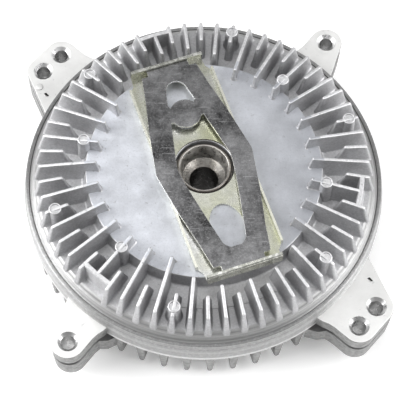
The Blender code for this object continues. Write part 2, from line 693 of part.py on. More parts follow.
def build_bearing_rings():
    half = ball_radius - RACE_SHOULDER
    for name, plain, rim, floor in (
            ("bearing_inner_ring", BEARING_BORE_RADIUS, race_inner_radius, ball_circle - ball_radius - GAP),
            ("bearing_outer_ring", BEARING_OUTER_RADIUS, race_outer_radius, ball_circle + ball_radius + GAP)):
        profile = [(plain, bearing_bottom), (rim, bearing_bottom), (rim, bearing_middle - half),
                   (floor, bearing_middle - half), (floor, bearing_middle + half),
                   (rim, bearing_middle + half), (rim, bearing_top), (plain, bearing_top)]
        finish(turned(name, profile, HUB_STEPS), "bright_steel")


def ball_places():
    for k in range(BALL_COUNT):
        angle = math.tau * k / BALL_COUNT
        yield (ball_circle * math.cos(angle), ball_circle * math.sin(angle), bearing_middle)


def build_bearing_cage():
    """A crown cage, with a slot open to the front for each ball."""
    inner = ball_circle - cage_wall / 2
    outer = ball_circle + cage_wall / 2
    reach = ball_radius + GAP
    low = bearing_middle - reach - CAGE_BASE
    high = bearing_middle + ball_radius + CAGE_LEAD
    profile = [(inner, low), (outer, low), (outer, high), (inner, high)]
    cage = turned("bearing_cage", profile, 2 * BALL_COUNT)
    turn_profile(cage, math.pi / BALL_COUNT / 2)
    slots = []
    for place in ball_places():
        shape = box((inner - cage_wall, -reach, bearing_middle - reach),
                    (outer + cage_wall, reach, high + OVERSHOOT))
        turn_about(shape, math.atan2(place[1], place[0]))
        slots.append(shape)
    boolean(cage, cutter("cage slots", merged(slots)), "DIFFERENCE")
    return finish(cage, "cage_plastic")


def build_balls():
    for number, place in enumerate(ball_places(), start=1):
        shape = bmesh.new()
        bmesh.ops.create_uvsphere(shape, u_segments=8, v_segments=4, radius=ball_radius)
        ball = link_mesh(f"bearing_ball_{number}", shape, PARTS, location=place)
        finish(ball, "bright_steel", crease=80.0)


def build_partition_plate():
    profile = [(partition_bore_radius, partition_bottom), (partition_radius, partition_bottom),
               (partition_radius, partition_top), (partition_bore_radius, partition_top)]
    plate = turned("partition_plate", profile, ROTOR_STEPS)
    low, high = partition_bottom - OVERSHOOT, partition_top + OVERSHOOT
    holes = [cylinder(radius, low, high, SMALL_STEPS, place=(0, y))
             for radius, y in ((PORT_RADIUS, port_circle), (RIVET_SHANK_RADIUS + GAP, lever_pivot))]
    boolean(plate, cutter("partition holes", merged(holes), turn=holder_angle), "DIFFERENCE")
    return finish(plate, "pressed_steel")


def build_valve(holder_frame):
    """The lever that covers the port, and the rivet that it swings on."""
    pivot = (0, lever_pivot, lever_bottom)
    half = LEVER_WIDTH / 2
    reach = lever_pivot - port_circle
    outline = ([(half, LEVER_TAIL), (-half, LEVER_TAIL)] +
               arc((0, -reach), PORT_RADIUS + LEVER_COVER, 180, 360, 7))
    lever = link_mesh("valve_lever", slab(outline, 0, LEVER_THICKNESS), PARTS,
                      location=pivot, parent=holder_frame)
    hole = cylinder(RIVET_SHANK_RADIUS + GAP, -OVERSHOOT, LEVER_THICKNESS + OVERSHOOT, SMALL_STEPS)
    boolean(lever, cutter("lever hole", hole, location=pivot, parent=holder_frame), "DIFFERENCE")
    finish(lever, "bright_steel")
    head, shank = RIVET_HEAD_RADIUS, RIVET_SHANK_RADIUS
    above, below = lever_top + GAP, partition_bottom - GAP
    rim = 2 * RIVET_HEAD_HEIGHT / 3
    profile = [(0, below - rim), (head, below - rim), (head, below), (shank, below), (shank, above),
               (head, above), (head, above + rim), (0, above + rim)]
    rivet = turned_solid("valve_rivet", profile, (0, lever_pivot, 0), holder_frame)
    return lever, rivet


def turned_solid(name, profile, location, parent):
    """Turns an open profile that starts and ends on the axis."""
    shape = bmesh.new()
    verts = [shape.verts.new((radius, 0, height)) for radius, height in profile[::-1]]
    for first, second in zip(verts, verts[1:]):
        shape.edges.new((first, second))
    made = link_mesh(name, shape, PARTS, location=location, parent=parent)
    screw = made.modifiers.new("turn", "SCREW")
    screw.steps = RIVET_STEPS
    screw.render_steps = RIVET_STEPS
    screw.use_merge_vertices = True
    screw.merge_threshold = 0.01 * MM
    return finish(made, "bright_steel")


def build_control_pin(holder_frame):
    low, high = lever_top + GAP, plate_bottom - GAP
    made = link_mesh("control_pin", cylinder(PIN_RADIUS, 0, high - low, SMALL_STEPS), PARTS,
                     location=(0, PIN_CIRCLE, low), parent=holder_frame)
    finish(made, "bright_steel")
    inner = PIN_RADIUS + GAP
    ring("pin_seal", inner, inner + PIN_SEAL_WIDTH, plateau - PIN_SEAL_HEIGHT, plateau, "rubber",
         SMALL_STEPS, location=(0, PIN_CIRCLE, 0), parent=holder_frame)


def build_holder(holder_frame):
    """A folded pan: base, two low side flanges, and end walls with inward lips."""
    wall_top = lip_underside + SHEET
    flange_top = plate_bottom - GAP
    width, length = HOLDER_HALF_WIDTH, holder_half_length
    reach = holder_flange_half_length
    end = holder_end_half_width
    outline = [(width, -reach), (width, reach), (end, reach + (width - end) / 2), (end, length),
               (-end, length), (-end, reach + (width - end) / 2), (-width, reach), (-width, -reach),
               (-end, -reach - (width - end) / 2), (-end, -length), (end, -length),
               (end, -reach - (width - end) / 2)]
    holder = link_mesh("bimetal_holder", slab(outline, holder_bottom, wall_top), PARTS, parent=holder_frame)
    inside = length - SHEET
    hollow = slab([(end, -inside), (end, -reach), (width - SHEET, -reach + SHEET),
                   (width - SHEET, reach - SHEET), (end, reach), (end, inside),
                   (-end, inside), (-end, reach), (-width + SHEET, reach - SHEET),
                   (-width + SHEET, -reach + SHEET), (-end, -reach), (-end, -inside)],
                  holder_top, lip_underside)
    above = box((-width - OVERSHOOT, -length + LIP_WIDTH, flange_top),
                (width + OVERSHOOT, length - LIP_WIDTH, wall_top + OVERSHOOT))
    ends = merged([box((-2 * width, sign * (reach + SHEET) if sign > 0 else -inside, holder_top),
                       (2 * width, inside if sign > 0 else -(reach + SHEET), lip_underside))
                   for sign in (1, -1)])
    place = {"parent": holder_frame}
    boolean(holder, cutter("holder hollow", hollow, **place), "DIFFERENCE")
    boolean(holder, cutter("holder open top", above, **place), "DIFFERENCE")
    boolean(holder, cutter("holder open ends", ends, **place), "DIFFERENCE")
    low, high = holder_bottom - OVERSHOOT, holder_top + OVERSHOOT / 2
    holes = [cylinder(holder_hole_radius, low, high, HUB_STEPS)]
    for sign in (1, -1):
        oval = [(OVAL_HALF_WIDTH * math.cos(a), sign * oval_centre + OVAL_HALF_LENGTH * math.sin(a))
                for a in (math.tau * k / 20 for k in range(20))]
        holes.append(slab(oval, low, high))
    holes += [cylinder(RIVET_SHANK_RADIUS + GAP, low, high, RIVET_STEPS, place=spot)
              for spot in rivet_places]
    boolean(holder, cutter("holder holes", merged(holes), **place), "DIFFERENCE")
    return finish(holder, "zinc_steel")


def build_holder_rivets(holder_frame):
    bottom, under = plateau - RIVET_GRIP, holder_top + GAP
    top = under + RIVET_HEAD_HEIGHT
    head, shank = RIVET_HEAD_RADIUS, RIVET_SHANK_RADIUS
    profile = [(0, bottom), (shank, bottom), (shank, under), (head, under),
               (head, top - RIVET_HEAD_HEIGHT / 2), (head / 2, top), (0, top)]
    for number, place in enumerate(rivet_places, start=1):
        turned_solid(f"holder_rivet_{number}", profile, (*place, 0), holder_frame)


def plate_outline():
    """The strip's long lozenge, with a straight tab at each end."""
    end = holder_half_length
    corner_y = end - PLATE_CORNER_FROM_END
    quarter = [(PLATE_HALF_WIDTH, PLATE_WAIST_HALF_LENGTH),
               (PLATE_SHOULDER_HALF_WIDTH, end - PLATE_SHOULDER_FROM_END),
               (PLATE_NECK_HALF_WIDTH, end - PLATE_NECK_FROM_END), (PLATE_CORNER_HALF_WIDTH, corner_y),
               (PLATE_TAB_HALF_WIDTH, corner_y), (PLATE_TAB_HALF_WIDTH, end - SHEET - GAP)]
    upper = quarter + [(-x, y) for x, y in quarter[::-1]]
    return upper + [(x, -y) for x, y in upper[::-1]]


def d_hole_outline():
    neck_x, neck_y = D_HOLE_NECK_HALF_WIDTH, PIN_CIRCLE + D_HOLE_NECK_FROM_PIN
    dome = arc((0, PIN_CIRCLE + D_HOLE_TOP_FROM_PIN - D_HOLE_RADIUS), D_HOLE_RADIUS, 8, 172, 8)
    crown = arc((0, PIN_CIRCLE), BRIDGE_RADIUS, 90 + BRIDGE_CROWN, 90 - BRIDGE_CROWN, 6)
    return dome + [(-neck_x, neck_y)] + crown + [(neck_x, neck_y)]


def window_outline():
    """The long opening round the hub, with the bridge's round lobe at its top."""
    end = holder_half_length
    lobe = arc((0, PIN_CIRCLE), BRIDGE_RADIUS, 270 - BRIDGE_LOBE, 270 + BRIDGE_LOBE, 7)
    right = [(WINDOW_CUSP_HALF_WIDTH, PIN_CIRCLE - WINDOW_CUSP_FROM_PIN),
             (WINDOW_HALF_WIDTH, WINDOW_WAIST_Y[0]), (WINDOW_HALF_WIDTH - WINDOW_EASE, WINDOW_WAIST_Y[1]),
             (WINDOW_TAPER_HALF_WIDTH, WINDOW_TAPER_FROM_END - end),
             (WINDOW_END_HALF_WIDTH + WINDOW_END_ROUND, WINDOW_END_FROM_END + 3 * WINDOW_END_ROUND - end),
             (WINDOW_END_HALF_WIDTH - WINDOW_END_ROUND, WINDOW_END_FROM_END - end)]
    return lobe + right + [(-x, y) for x, y in right[::-1]]


def build_bimetal_plate(holder_frame):
    plate = link_mesh("bimetal_plate", slab(plate_outline(), plate_bottom, plate_top), PARTS,
                      parent=holder_frame)
    low, high = plate_bottom - OVERSHOOT, plate_top + OVERSHOOT
    holes = merged([slab(outline, low, high) for outline in (d_hole_outline(), window_outline())])
    boolean(plate, cutter("plate windows", holes, parent=holder_frame), "DIFFERENCE")
    return finish(plate, "bimetal")


def build_cover_seal():
    """A rubber ring squeezed to a triangle in the corner under the cover's edge."""
    outer = rim_radius - GAP
    profile = [(outer - SEAL_SECTION, seat + GAP), (outer, seat + GAP), (outer, seat + GAP + SEAL_SECTION)]
    return finish(turned("cover_seal", profile, HOUSING_STEPS), "rubber")


def build_bush_and_shield():
    top = plateau - BUSH_DROP
    ring("front_shaft_bush", HUB_TUBE_RADIUS + GAP, cover_bore_radius - GAP, top - BUSH_HEIGHT, top,
         "bush_plastic")
    ring("bearing_shield", race_inner_radius + GAP, race_outer_radius - GAP, bearing_bottom,
         bearing_bottom + SHIELD_THICKNESS, "pressed_steel")


def build():
    holder_frame = empty("holder_frame", turn=holder_angle)
    build_rear_housing()
    build_front_cover()
    build_hub_shaft()
    build_rotor_disc()
    build_bearing_rings()
    build_bearing_cage()
    build_balls()
    build_partition_plate()
    build_valve(holder_frame)
    build_control_pin(holder_frame)
    build_holder(holder_frame)
    build_holder_rivets(holder_frame)
    build_bimetal_plate(holder_frame)
    build_cover_seal()
    build_bush_and_shield()
    build_snap_ring()


clear_scene()
PARTS = make_collection("viscous_fan_clutch")
CUTTERS = make_collection("cutters")
build()
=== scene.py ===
"""Looks of a viscous fan clutch: castings, zinc-plated holder, dark bimetal strip, turned hub.

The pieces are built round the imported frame, in metres, with the turning axis on Z.
"""

import math

import bmesh
import bpy
from bpy.props import FloatProperty, FloatVectorProperty, IntProperty, PointerProperty
from mathutils import Matrix, Vector


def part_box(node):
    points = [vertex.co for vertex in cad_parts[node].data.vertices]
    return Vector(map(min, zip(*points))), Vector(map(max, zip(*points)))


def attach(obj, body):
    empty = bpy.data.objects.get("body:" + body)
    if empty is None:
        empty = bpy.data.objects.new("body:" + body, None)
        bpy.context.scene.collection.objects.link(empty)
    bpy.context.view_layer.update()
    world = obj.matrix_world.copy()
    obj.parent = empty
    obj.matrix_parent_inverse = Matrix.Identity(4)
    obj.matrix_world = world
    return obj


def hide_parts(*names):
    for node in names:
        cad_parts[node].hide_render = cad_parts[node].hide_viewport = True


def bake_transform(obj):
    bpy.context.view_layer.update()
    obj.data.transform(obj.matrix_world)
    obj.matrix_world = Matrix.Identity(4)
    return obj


bl_info = {
    "name": "Viscous Fan Clutch Pieces",
    "version": (1, 0, 0),
    "blender": (4, 5, 0),
    "location": "View3D > Sidebar > Fan Clutch",
    "description": "Builds the finished pieces of a viscous fan clutch round its frame",
    "category": "Add Mesh",
}

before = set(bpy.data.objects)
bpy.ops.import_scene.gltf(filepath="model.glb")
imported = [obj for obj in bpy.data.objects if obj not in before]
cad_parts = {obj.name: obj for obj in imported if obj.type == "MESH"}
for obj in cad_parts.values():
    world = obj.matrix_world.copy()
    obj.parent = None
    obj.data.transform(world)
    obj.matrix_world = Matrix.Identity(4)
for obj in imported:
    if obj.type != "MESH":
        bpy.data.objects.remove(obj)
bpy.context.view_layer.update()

MM = 0.001

# Heights and places that the frame gives; it keeps a small gap between its pieces
GAP = 0.3 * MM
COVER_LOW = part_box("front_cover")[0]
HOUSING_LOW, HOUSING_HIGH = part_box("rear_housing")
HOLDER_LOW, HOLDER_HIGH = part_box("bimetal_holder")
PLATE_LOW, PLATE_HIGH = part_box("bimetal_plate")
HUB_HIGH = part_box("hub_shaft")[1]
PIN_LOW, PIN_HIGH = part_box("control_pin")
PARTING = HOUSING_HIGH.z - 0.6 * MM
PLATEAU = HOLDER_LOW.z - GAP
FLOOR = PARTING + 5.2 * MM
PIN_PLACE = (PIN_LOW + PIN_HIGH) / 2
PIN_DISTANCE = PIN_PLACE.xy.length
FLANGE_TOP = PLATE_LOW.z - GAP
HOLDER_TURN = math.atan2(-PIN_PLACE.x, PIN_PLACE.y)

# Where the cover's plateau ends and its turned rim begins
PLATEAU_RADIUS = 57.04 * MM
RIM_START = 80.9 * MM

# Numbers of the castings' finishes; what is turned keeps 0; the bore and groove finishes carry painted shade
CAST, CHAMFER, BORE_SHADE, GROOVE_SHADE = range(1, 5)


def colour_property(name, description, default):
    return FloatVectorProperty(name=name, description=description, subtype="COLOR", size=3,
                               min=0.0, max=1.0, default=default)


def length_property(name, description, millimetres):
    return FloatProperty(name=name, description=description, subtype="DISTANCE", unit="LENGTH",
                         min=0.0, default=millimetres * MM)


class ClutchSizes(bpy.types.PropertyGroup):
    """Sizes of the pieces that a user may want to change."""

    front_fins: IntProperty(name="Front fins", description="Fins round the front cover", default=60, min=6)
    rear_fins: IntProperty(name="Rear fins", description="Fins on the back of the housing", default=48, min=6)
    fin_top_width: length_property("Fin top", "Thickness of a front fin at its top", 1.7)
    fin_root_width: length_property("Fin root", "Thickness of a front fin at its foot", 3.3)
    fin_height: length_property("Fin height", "Fin top above the parting line, 68 mm from the axis", 18.25)
    fin_slope: FloatProperty(name="Fin slope", description="Fall of the fin tops for each unit outwards",
                             default=0.149)
    root_fillet: length_property("Root fillet", "Radius where a fin grows out of the casting", 1.1)
    edge_radius: length_property("Cast edge", "Rounding of the castings' edges", 0.5)


class ClutchColours(bpy.types.PropertyGroup):
    """Base colours of the finishes."""

    # The fin sides' tone is cast skin darkened as painted shade on the upright faces, against the rubbed fin
    # tops
    fin_side: colour_property("Fin sides", "Cast skin on the upright faces", (0.50, 0.50, 0.51))
    fin_top: colour_property("Fin tops", "Rubbed faces that look up", (0.78, 0.78, 0.79))
    plateau: colour_property("Plateau", "Blasted face round the holder", (0.70, 0.72, 0.77))
    housing: colour_property("Housing", "Bright cast housing", (0.92, 0.92, 0.91))
    rim: colour_property("Rim", "Turned rings of both castings", (0.43, 0.43, 0.43))
    zinc: colour_property("Zinc", "Yellow passivated zinc", (0.51, 0.505, 0.395))
    strip: colour_property("Strip", "Dark face of the bimetal strip", (0.135, 0.135, 0.138))
    hub: colour_property("Hub", "Darkened turned steel", (0.36, 0.33, 0.31))
    floor: colour_property("Floor", "Studio floor", (1.0, 1.0, 1.0))


def sizes():
    return bpy.context.scene.clutch_sizes


def colours():
    return bpy.context.scene.clutch_colours


# Mesh helpers

def rounded(corners, facets=3):
    """A closed outline from (x, y, radius) corners, with an arc at each corner that has a radius."""
    outline = []
    count = len(corners)
    for index, (x, y, radius) in enumerate(corners):
        here = Vector((x, y))
        before = Vector(corners[index - 1][:2]) - here
        after = Vector(corners[(index + 1) % count][:2]) - here
        bend = before.angle(after, math.pi)
        if radius <= 0 or bend > math.radians(176):
            outline.append(here)
            continue
        reach = min(radius / math.tan(bend / 2), 0.49 * before.length, 0.49 * after.length)
        radius = reach * math.tan(bend / 2)
        halfway = (before.normalized() + after.normalized()).normalized()
        centre = here + halfway * (radius / math.sin(bend / 2))
        start = here + before.normalized() * reach - centre
        sweep = start.angle_signed(here + after.normalized() * reach - centre)
        for step in range(facets + 1):
            outline.append(centre + Matrix.Rotation(-sweep * step / facets, 2) @ start)
    return outline


def rounded_mm(corners, facets):
    """A rounded outline from corners in millimetres."""
    return rounded([(x * MM, y * MM, radius * MM) for x, y, radius in corners], facets)


def arc_points(centre, radius, start, end, count):
    """Points on an arc, both ends among them; angles in degrees."""
    turns = [math.radians(start + (end - start) * step / (count - 1)) for step in range(count)]
    return [Vector((centre[0] + radius * math.cos(a), centre[1] + radius * math.sin(a))) for a in turns]


def turned(outline, steps, place=(0, 0)):
    """A closed (radius, height) outline turned about the Z axis."""
    shape = bmesh.new()
    verts = [shape.verts.new((point[0], 0, point[1])) for point in outline]
    for first, second in zip(verts, verts[1:] + verts[:1]):
        if max(first.co.x, second.co.x) > 1e-7:
            shape.edges.new((first, second))
    bmesh.ops.spin(shape, geom=shape.verts[:] + shape.edges[:], cent=(0, 0, 0), axis=(0, 0, 1),
                   angle=math.tau, steps=steps, use_merge=True, use_duplicate=False)
    bmesh.ops.remove_doubles(shape, verts=shape.verts, dist=0.002 * MM)
    bmesh.ops.recalc_face_normals(shape, faces=shape.faces)
    bmesh.ops.translate(shape, verts=shape.verts, vec=(*place, 0))
    return shape


def slab(outline, bottom, top):
    """A flat outline raised from bottom to top."""
    shape = bmesh.new()
    face = shape.faces.new([shape.verts.new((point[0], point[1], bottom)) for point in outline])
    raised = bmesh.ops.extrude_face_region(shape, geom=[face])
    moved = [item for item in raised["geom"] if isinstance(item, bmesh.types.BMVert)]
    bmesh.ops.translate(shape, verts=moved, vec=(0, 0, top - bottom))
    bmesh.ops.recalc_face_normals(shape, faces=shape.faces)
    return shape


def loft(loops):
    """A closed solid through loops of points that all have the same count."""
    shape = bmesh.new()
    rings = [[shape.verts.new(point) for point in loop] for loop in loops]
    for lower, upper in zip(rings, rings[1:]):
        for k in range(len(lower)):
            shape.faces.new((lower[k - 1], lower[k], upper[k], upper[k - 1]))
    shape.faces.new(rings[0])
    shape.faces.new(rings[-1][::-1])
    bmesh.ops.recalc_face_normals(shape, faces=shape.faces)
    return shape


def turn(shape, angle):
    """Turns a shape about the Z axis."""
    bmesh.ops.rotate(shape, verts=shape.verts, cent=(0, 0, 0), matrix=Matrix.Rotation(angle, 3, "Z"))
    return shape


def coated(shape, finish):
    """Gives all of a shape's faces the finish with that number."""
    for wall in shape.faces:
        wall.material_index = finish
    return shape


def merged(shapes):
    """Puts shapes into one mesh."""
    whole = bmesh.new()
    for shape in shapes:
        mesh = bpy.data.meshes.new("piece")
        shape.to_mesh(mesh)
        shape.free()
        whole.from_mesh(mesh)
        bpy.data.meshes.remove(mesh)
    return whole


def linked(name, data):
    made = bpy.data.objects.new(name, data)
    bpy.context.scene.collection.objects.link(made)
    return made


def loose_object(name, shape):
    mesh = bpy.data.meshes.new(name)
    shape.to_mesh(mesh)
    shape.free()
    return linked(name, mesh)


def applied(body, helpers=()):
    """The shape that an object's modifiers give; the object and its helpers go."""
    bpy.context.view_layer.update()
    mesh = bpy.data.meshes.new_from_object(body.evaluated_get(bpy.context.evaluated_depsgraph_get()))
    result = bmesh.new()
    result.from_mesh(mesh)
    for item in (body, *helpers):
        bpy.data.objects.remove(item, do_unlink=True)
    bpy.data.meshes.remove(mesh)
    return result


def cut(shape, tools):
    """Takes each tool's shape out of a shape."""
    body = loose_object("body", shape)
    helpers = [loose_object("tool", tool) for tool in tools]
    for helper in helpers:
        step = body.modifiers.new("cut", "BOOLEAN")
        step.operation = "DIFFERENCE"
        step.solver = "EXACT"
        step.object = helper
    return applied(body, helpers)


def sheet(outline, windows, low, high):
    """A flat sheet with windows through it."""
    return cut(slab(outline, low, high), [slab(window, low - 1 * MM, high + 1 * MM) for window in windows])


def bevelled(shape, width, angle):
    """Rounds the edges of a shape that bend by more than an angle in degrees."""
    body = loose_object("body", shape)
    step = body.modifiers.new("edges", "BEVEL")
    step.width = width
    step.segments = 2
    step.limit_method = "ANGLE"
    step.angle_limit = math.radians(angle)
    return applied(body)


def finished(name, shape, materials, nodes):
    """Finishes a shape as an object that stands for the given nodes."""
    made = loose_object(name, shape)
    for material in materials:
        made.data.materials.append(material)
    made.data.shade_smooth()
    made.data.set_sharp_from_angle(angle=math.radians(35.0))
    even = made.modifiers.new("even shading", "WEIGHTED_NORMAL")
    even.keep_sharp = True
    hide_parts(*nodes)
    return made


def piece(name, shape, materials, body, nodes):
    """Finishes a shape as a piece that rides on a body."""
    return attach(finished(name, shape, materials, nodes), body)


# Materials

def new_material(name, colour, roughness, metallic):
    """A Principled material with its node tree, its shader and the place on the object to work from."""
    material = bpy.data.materials.new(name)
    material.use_nodes = True
    tree = material.node_tree
    shader = tree.nodes["Principled BSDF"]
    shader.inputs["Base Color"].default_value = (*colour, 1)
    shader.inputs["Roughness"].default_value = roughness
    shader.inputs["Metallic"].default_value = metallic
    return material, tree, shader, object_place(tree)


def node(tree, kind, **settings):
    made = tree.nodes.new(kind)
    for key, value in settings.items():
        setattr(made, key, value)
    return made


def object_place(tree):
    return node(tree, "ShaderNodeTexCoord").outputs["Object"]


def noise(tree, place, scale, detail=3.0, roughness=0.55):
    made = node(tree, "ShaderNodeTexNoise")
    made.inputs["Scale"].default_value = scale
    made.inputs["Detail"].default_value = detail
    made.inputs["Roughness"].default_value = roughness
    tree.links.new(place, made.inputs["Vector"])
    return made.outputs["Fac"]


def spread(tree, value, low, high, to_low=0.0, to_high=1.0):
    """Maps low to to_low and high to to_high, and holds both beyond there; low may be the greater."""
    made = node(tree, "ShaderNodeMapRange", clamp=True)
    tree.links.new(value, made.inputs["Value"])
    for key, number in zip(("From Min", "From Max", "To Min", "To Max"), (low, high, to_low, to_high)):
        made.inputs[key].default_value = number
    return made.outputs["Result"]


def mixed(tree, share, first, second):
    """Mixes two colours; each is a colour or a socket."""
    made = node(tree, "ShaderNodeMix", data_type="RGBA")
    tree.links.new(share, made.inputs["Factor"])
    for key, colour in (("A", first), ("B", second)):
        sockets = [item for item in made.inputs if item.name == key and item.type == "RGBA"]
        if isinstance(colour, bpy.types.NodeSocket):
            tree.links.new(colour, sockets[0])
        else:
            sockets[0].default_value = (*colour, 1)
    return [item for item in made.outputs if item.type == "RGBA"][0]


def shade(colour, factor):
    return tuple(min(1.0, channel * factor) for channel in colour)


def tinted(tree, share, colour, dark, light):
    """A colour that goes from a dark to a light share of itself."""
    return mixed(tree, share, shade(colour, dark), shade(colour, light))


def coloured(tree, shader, colour, grain, smooth, rough):
    """Links the base colour, and a roughness that follows the grain."""
    tree.links.new(colour, shader.inputs["Base Color"])
    tree.links.new(spread(tree, grain, 0.3, 0.7, smooth, rough), shader.inputs["Roughness"])


def arithmetic(tree, operation, first, second):
    made = node(tree, "ShaderNodeMath", operation=operation)
    for socket, value in zip(made.inputs, (first, second)):
        if isinstance(value, bpy.types.NodeSocket):
            tree.links.new(value, socket)
        else:
            socket.default_value = value
    return made.outputs["Value"]


def product(tree, first, second):
    return arithmetic(tree, "MULTIPLY", first, second)


def bump(tree, shader, height, distance, strength=1.0, below=None):
    made = node(tree, "ShaderNodeBump")
    made.inputs["Distance"].default_value = distance
    made.inputs["Strength"].default_value = strength
    tree.links.new(height, made.inputs["Height"])
    if below is not None:
        tree.links.new(below, made.inputs["Normal"])
    tree.links.new(made.outputs["Normal"], shader.inputs["Normal"])
    return made.outputs["Normal"]


def separated(tree, vector):
    """The X, Y and Z of a vector."""
    made = node(tree, "ShaderNodeSeparateXYZ")
    tree.links.new(vector, made.inputs["Vector"])
    return made.outputs


def facing_up(tree, low, high):
    """1 on faces that look up, 0 on upright faces; the other way round where low is the greater."""
    normal = node(tree, "ShaderNodeNewGeometry").outputs["Normal"]
    return spread(tree, separated(tree, normal)["Z"], low, high)


def axis_distance(tree, place):
    """Distance of a point from the turning axis."""
    flat = node(tree, "ShaderNodeVectorMath", operation="MULTIPLY")
    tree.links.new(place, flat.inputs[0])
    flat.inputs[1].default_value = (1, 1, 0)
    length = node(tree, "ShaderNodeVectorMath", operation="LENGTH")
    tree.links.new(flat.outputs["Vector"], length.inputs[0])
    return length.outputs["Value"]


def ring_marks(tree, place, scale):
    """Noise that only changes with the radius and the height, as turning marks do."""
    flat = node(tree, "ShaderNodeCombineXYZ")
    tree.links.new(axis_distance(tree, place), flat.inputs["X"])
    tree.links.new(separated(tree, place)["Z"], flat.inputs["Y"])
    return noise(tree, flat.outputs["Vector"], scale, 2.0)


def brushed(tree, shader, amount):
    """Stretches the reflections across the turning marks; amount is a number or a socket."""
    tangent = node(tree, "ShaderNodeTangent", direction_type="RADIAL", axis="Z")
    tree.links.new(tangent.outputs["Tangent"], shader.inputs["Tangent"])
    shader.inputs["Anisotropic Rotation"].default_value = 0.25
    if isinstance(amount, bpy.types.NodeSocket):
        tree.links.new(amount, shader.inputs["Anisotropic"])
    else:
        shader.inputs["Anisotropic"].default_value = amount


def cover_material(name, ringed):
    """Cast aluminium: grey upright skin darkened as painted shade, rubbed tops, painted shade on the floor
    between the fins, a blasted bluish middle with painted shade towards +X, and a turned rim if ringed.
    """
    tones = colours()
    material, tree, shader, place = new_material(name, tones.fin_side, 0.5, 0.75)
    cloudy = noise(tree, place, 55.0, 4.0)
    grain = noise(tree, place, 900.0, 3.0, 0.7)
    mottle = arithmetic(tree, "ADD", spread(tree, cloudy, 0.3, 0.7, 0.0, 0.5),
                        spread(tree, grain, 0.35, 0.65, 0.0, 0.5))
    # Painted shade: upright faces take the darker fin-side tone; faces that look up take the rubbed fin-top
    # tone
    side = tinted(tree, mottle, tones.fin_side, 0.68, 1.3)
    top = tinted(tree, mottle, tones.fin_top, 0.75, 1.15)
    parts = separated(tree, place)
    # Painted shade: faces that look up at floor height between the fins take the darker upright tone
    low = spread(tree, parts["Z"], FLOOR + 1.0 * MM, FLOOR + 0.4 * MM, 0.0, 0.55)
    metal = mixed(tree, facing_up(tree, 0.55, 0.9), side, mixed(tree, low, top, side))
    patches = spread(tree, noise(tree, place, 90.0, 5.0, 0.65), 0.32, 0.68)
    frost = tinted(tree, patches, tones.plateau, 0.82, 1.12)
    grit = spread(tree, noise(tree, place, 1100.0, 3.0, 0.75), 0.55, 0.7, 0.0, 0.35)
    frost = mixed(tree, grit, frost, shade(tones.plateau, 0.55))
    # Painted shade: the plateau darkens towards +X, with a cloudy edge
    drift = arithmetic(tree, "ADD", parts["X"], product(tree, cloudy, 50 * MM))
    frost = mixed(tree, spread(tree, drift, 15 * MM, 75 * MM, 0.0, 0.62), frost, shade(tones.plateau, 0.5))
    radius = axis_distance(tree, place)
    inside = spread(tree, radius, PLATEAU_RADIUS + 0.56 * MM, PLATEAU_RADIUS - 0.14 * MM)
    on_plateau = product(tree, inside, facing_up(tree, 0.9, 0.97))
    metal = mixed(tree, on_plateau, metal, frost)
    specks = spread(tree, noise(tree, place, 420.0, 2.0), 0.66, 0.74, 0.0, 0.45)
    metal = mixed(tree, specks, metal, shade(tones.fin_side, 0.6))
    if ringed:
        rim = spread(tree, radius, RIM_START - 0.3 * MM, RIM_START)
        lines = spread(tree, ring_marks(tree, place, 900.0), 0.35, 0.65)
        metal = mixed(tree, rim, metal, tinted(tree, lines, tones.rim, 0.7, 1.3))
        brushed(tree, shader, product(tree, rim, 0.85))
    coloured(tree, shader, metal, grain, 0.4, 0.62)
    coarse = bump(tree, shader, noise(tree, place, 260.0, 4.0), 0.25 * MM, 0.35)
    bump(tree, shader, grain, 0.1 * MM, 0.5, coarse)
    return material


def turned_housing_material():
    """The housing's turned faces: grey rings, and a painted highlight low on the wall."""
    tones = colours()
    material, tree, shader, place = new_material("turned_aluminium", tones.rim, 0.4, 0.95)
    wide = spread(tree, ring_marks(tree, place, 330.0), 0.3, 0.7)
    fine = spread(tree, ring_marks(tree, place, 1300.0), 0.3, 0.7)
    metal = tinted(tree, wide, tones.rim, 0.5, 1.4)
    metal = mixed(tree, product(tree, fine, 0.65), metal, shade(tones.rim, 0.4))
    grain = noise(tree, place, 700.0, 3.0, 0.7)
    metal = mixed(tree, spread(tree, grain, 0.45, 0.7, 0.0, 0.35), metal, shade(tones.rim, 1.6))
    height = separated(tree, place)["Z"]
    # Painted highlight: a bright ring low on the wall, just above the skirt
    painted_highlight_band = product(tree, spread(tree, height, PARTING - 14.8 * MM, PARTING - 14.2 * MM),
                   spread(tree, height, PARTING - 11.5 * MM, PARTING - 13.0 * MM))
    metal = mixed(tree, product(tree, painted_highlight_band, 0.6), metal, shade(tones.rim, 2.0))
    tree.links.new(metal, shader.inputs["Base Color"])
    brushed(tree, shader, 0.85)
    rings = bump(tree, shader, fine, 0.03 * MM, 0.6)
    bump(tree, shader, grain, 0.08 * MM, 0.4, rings)
    return material


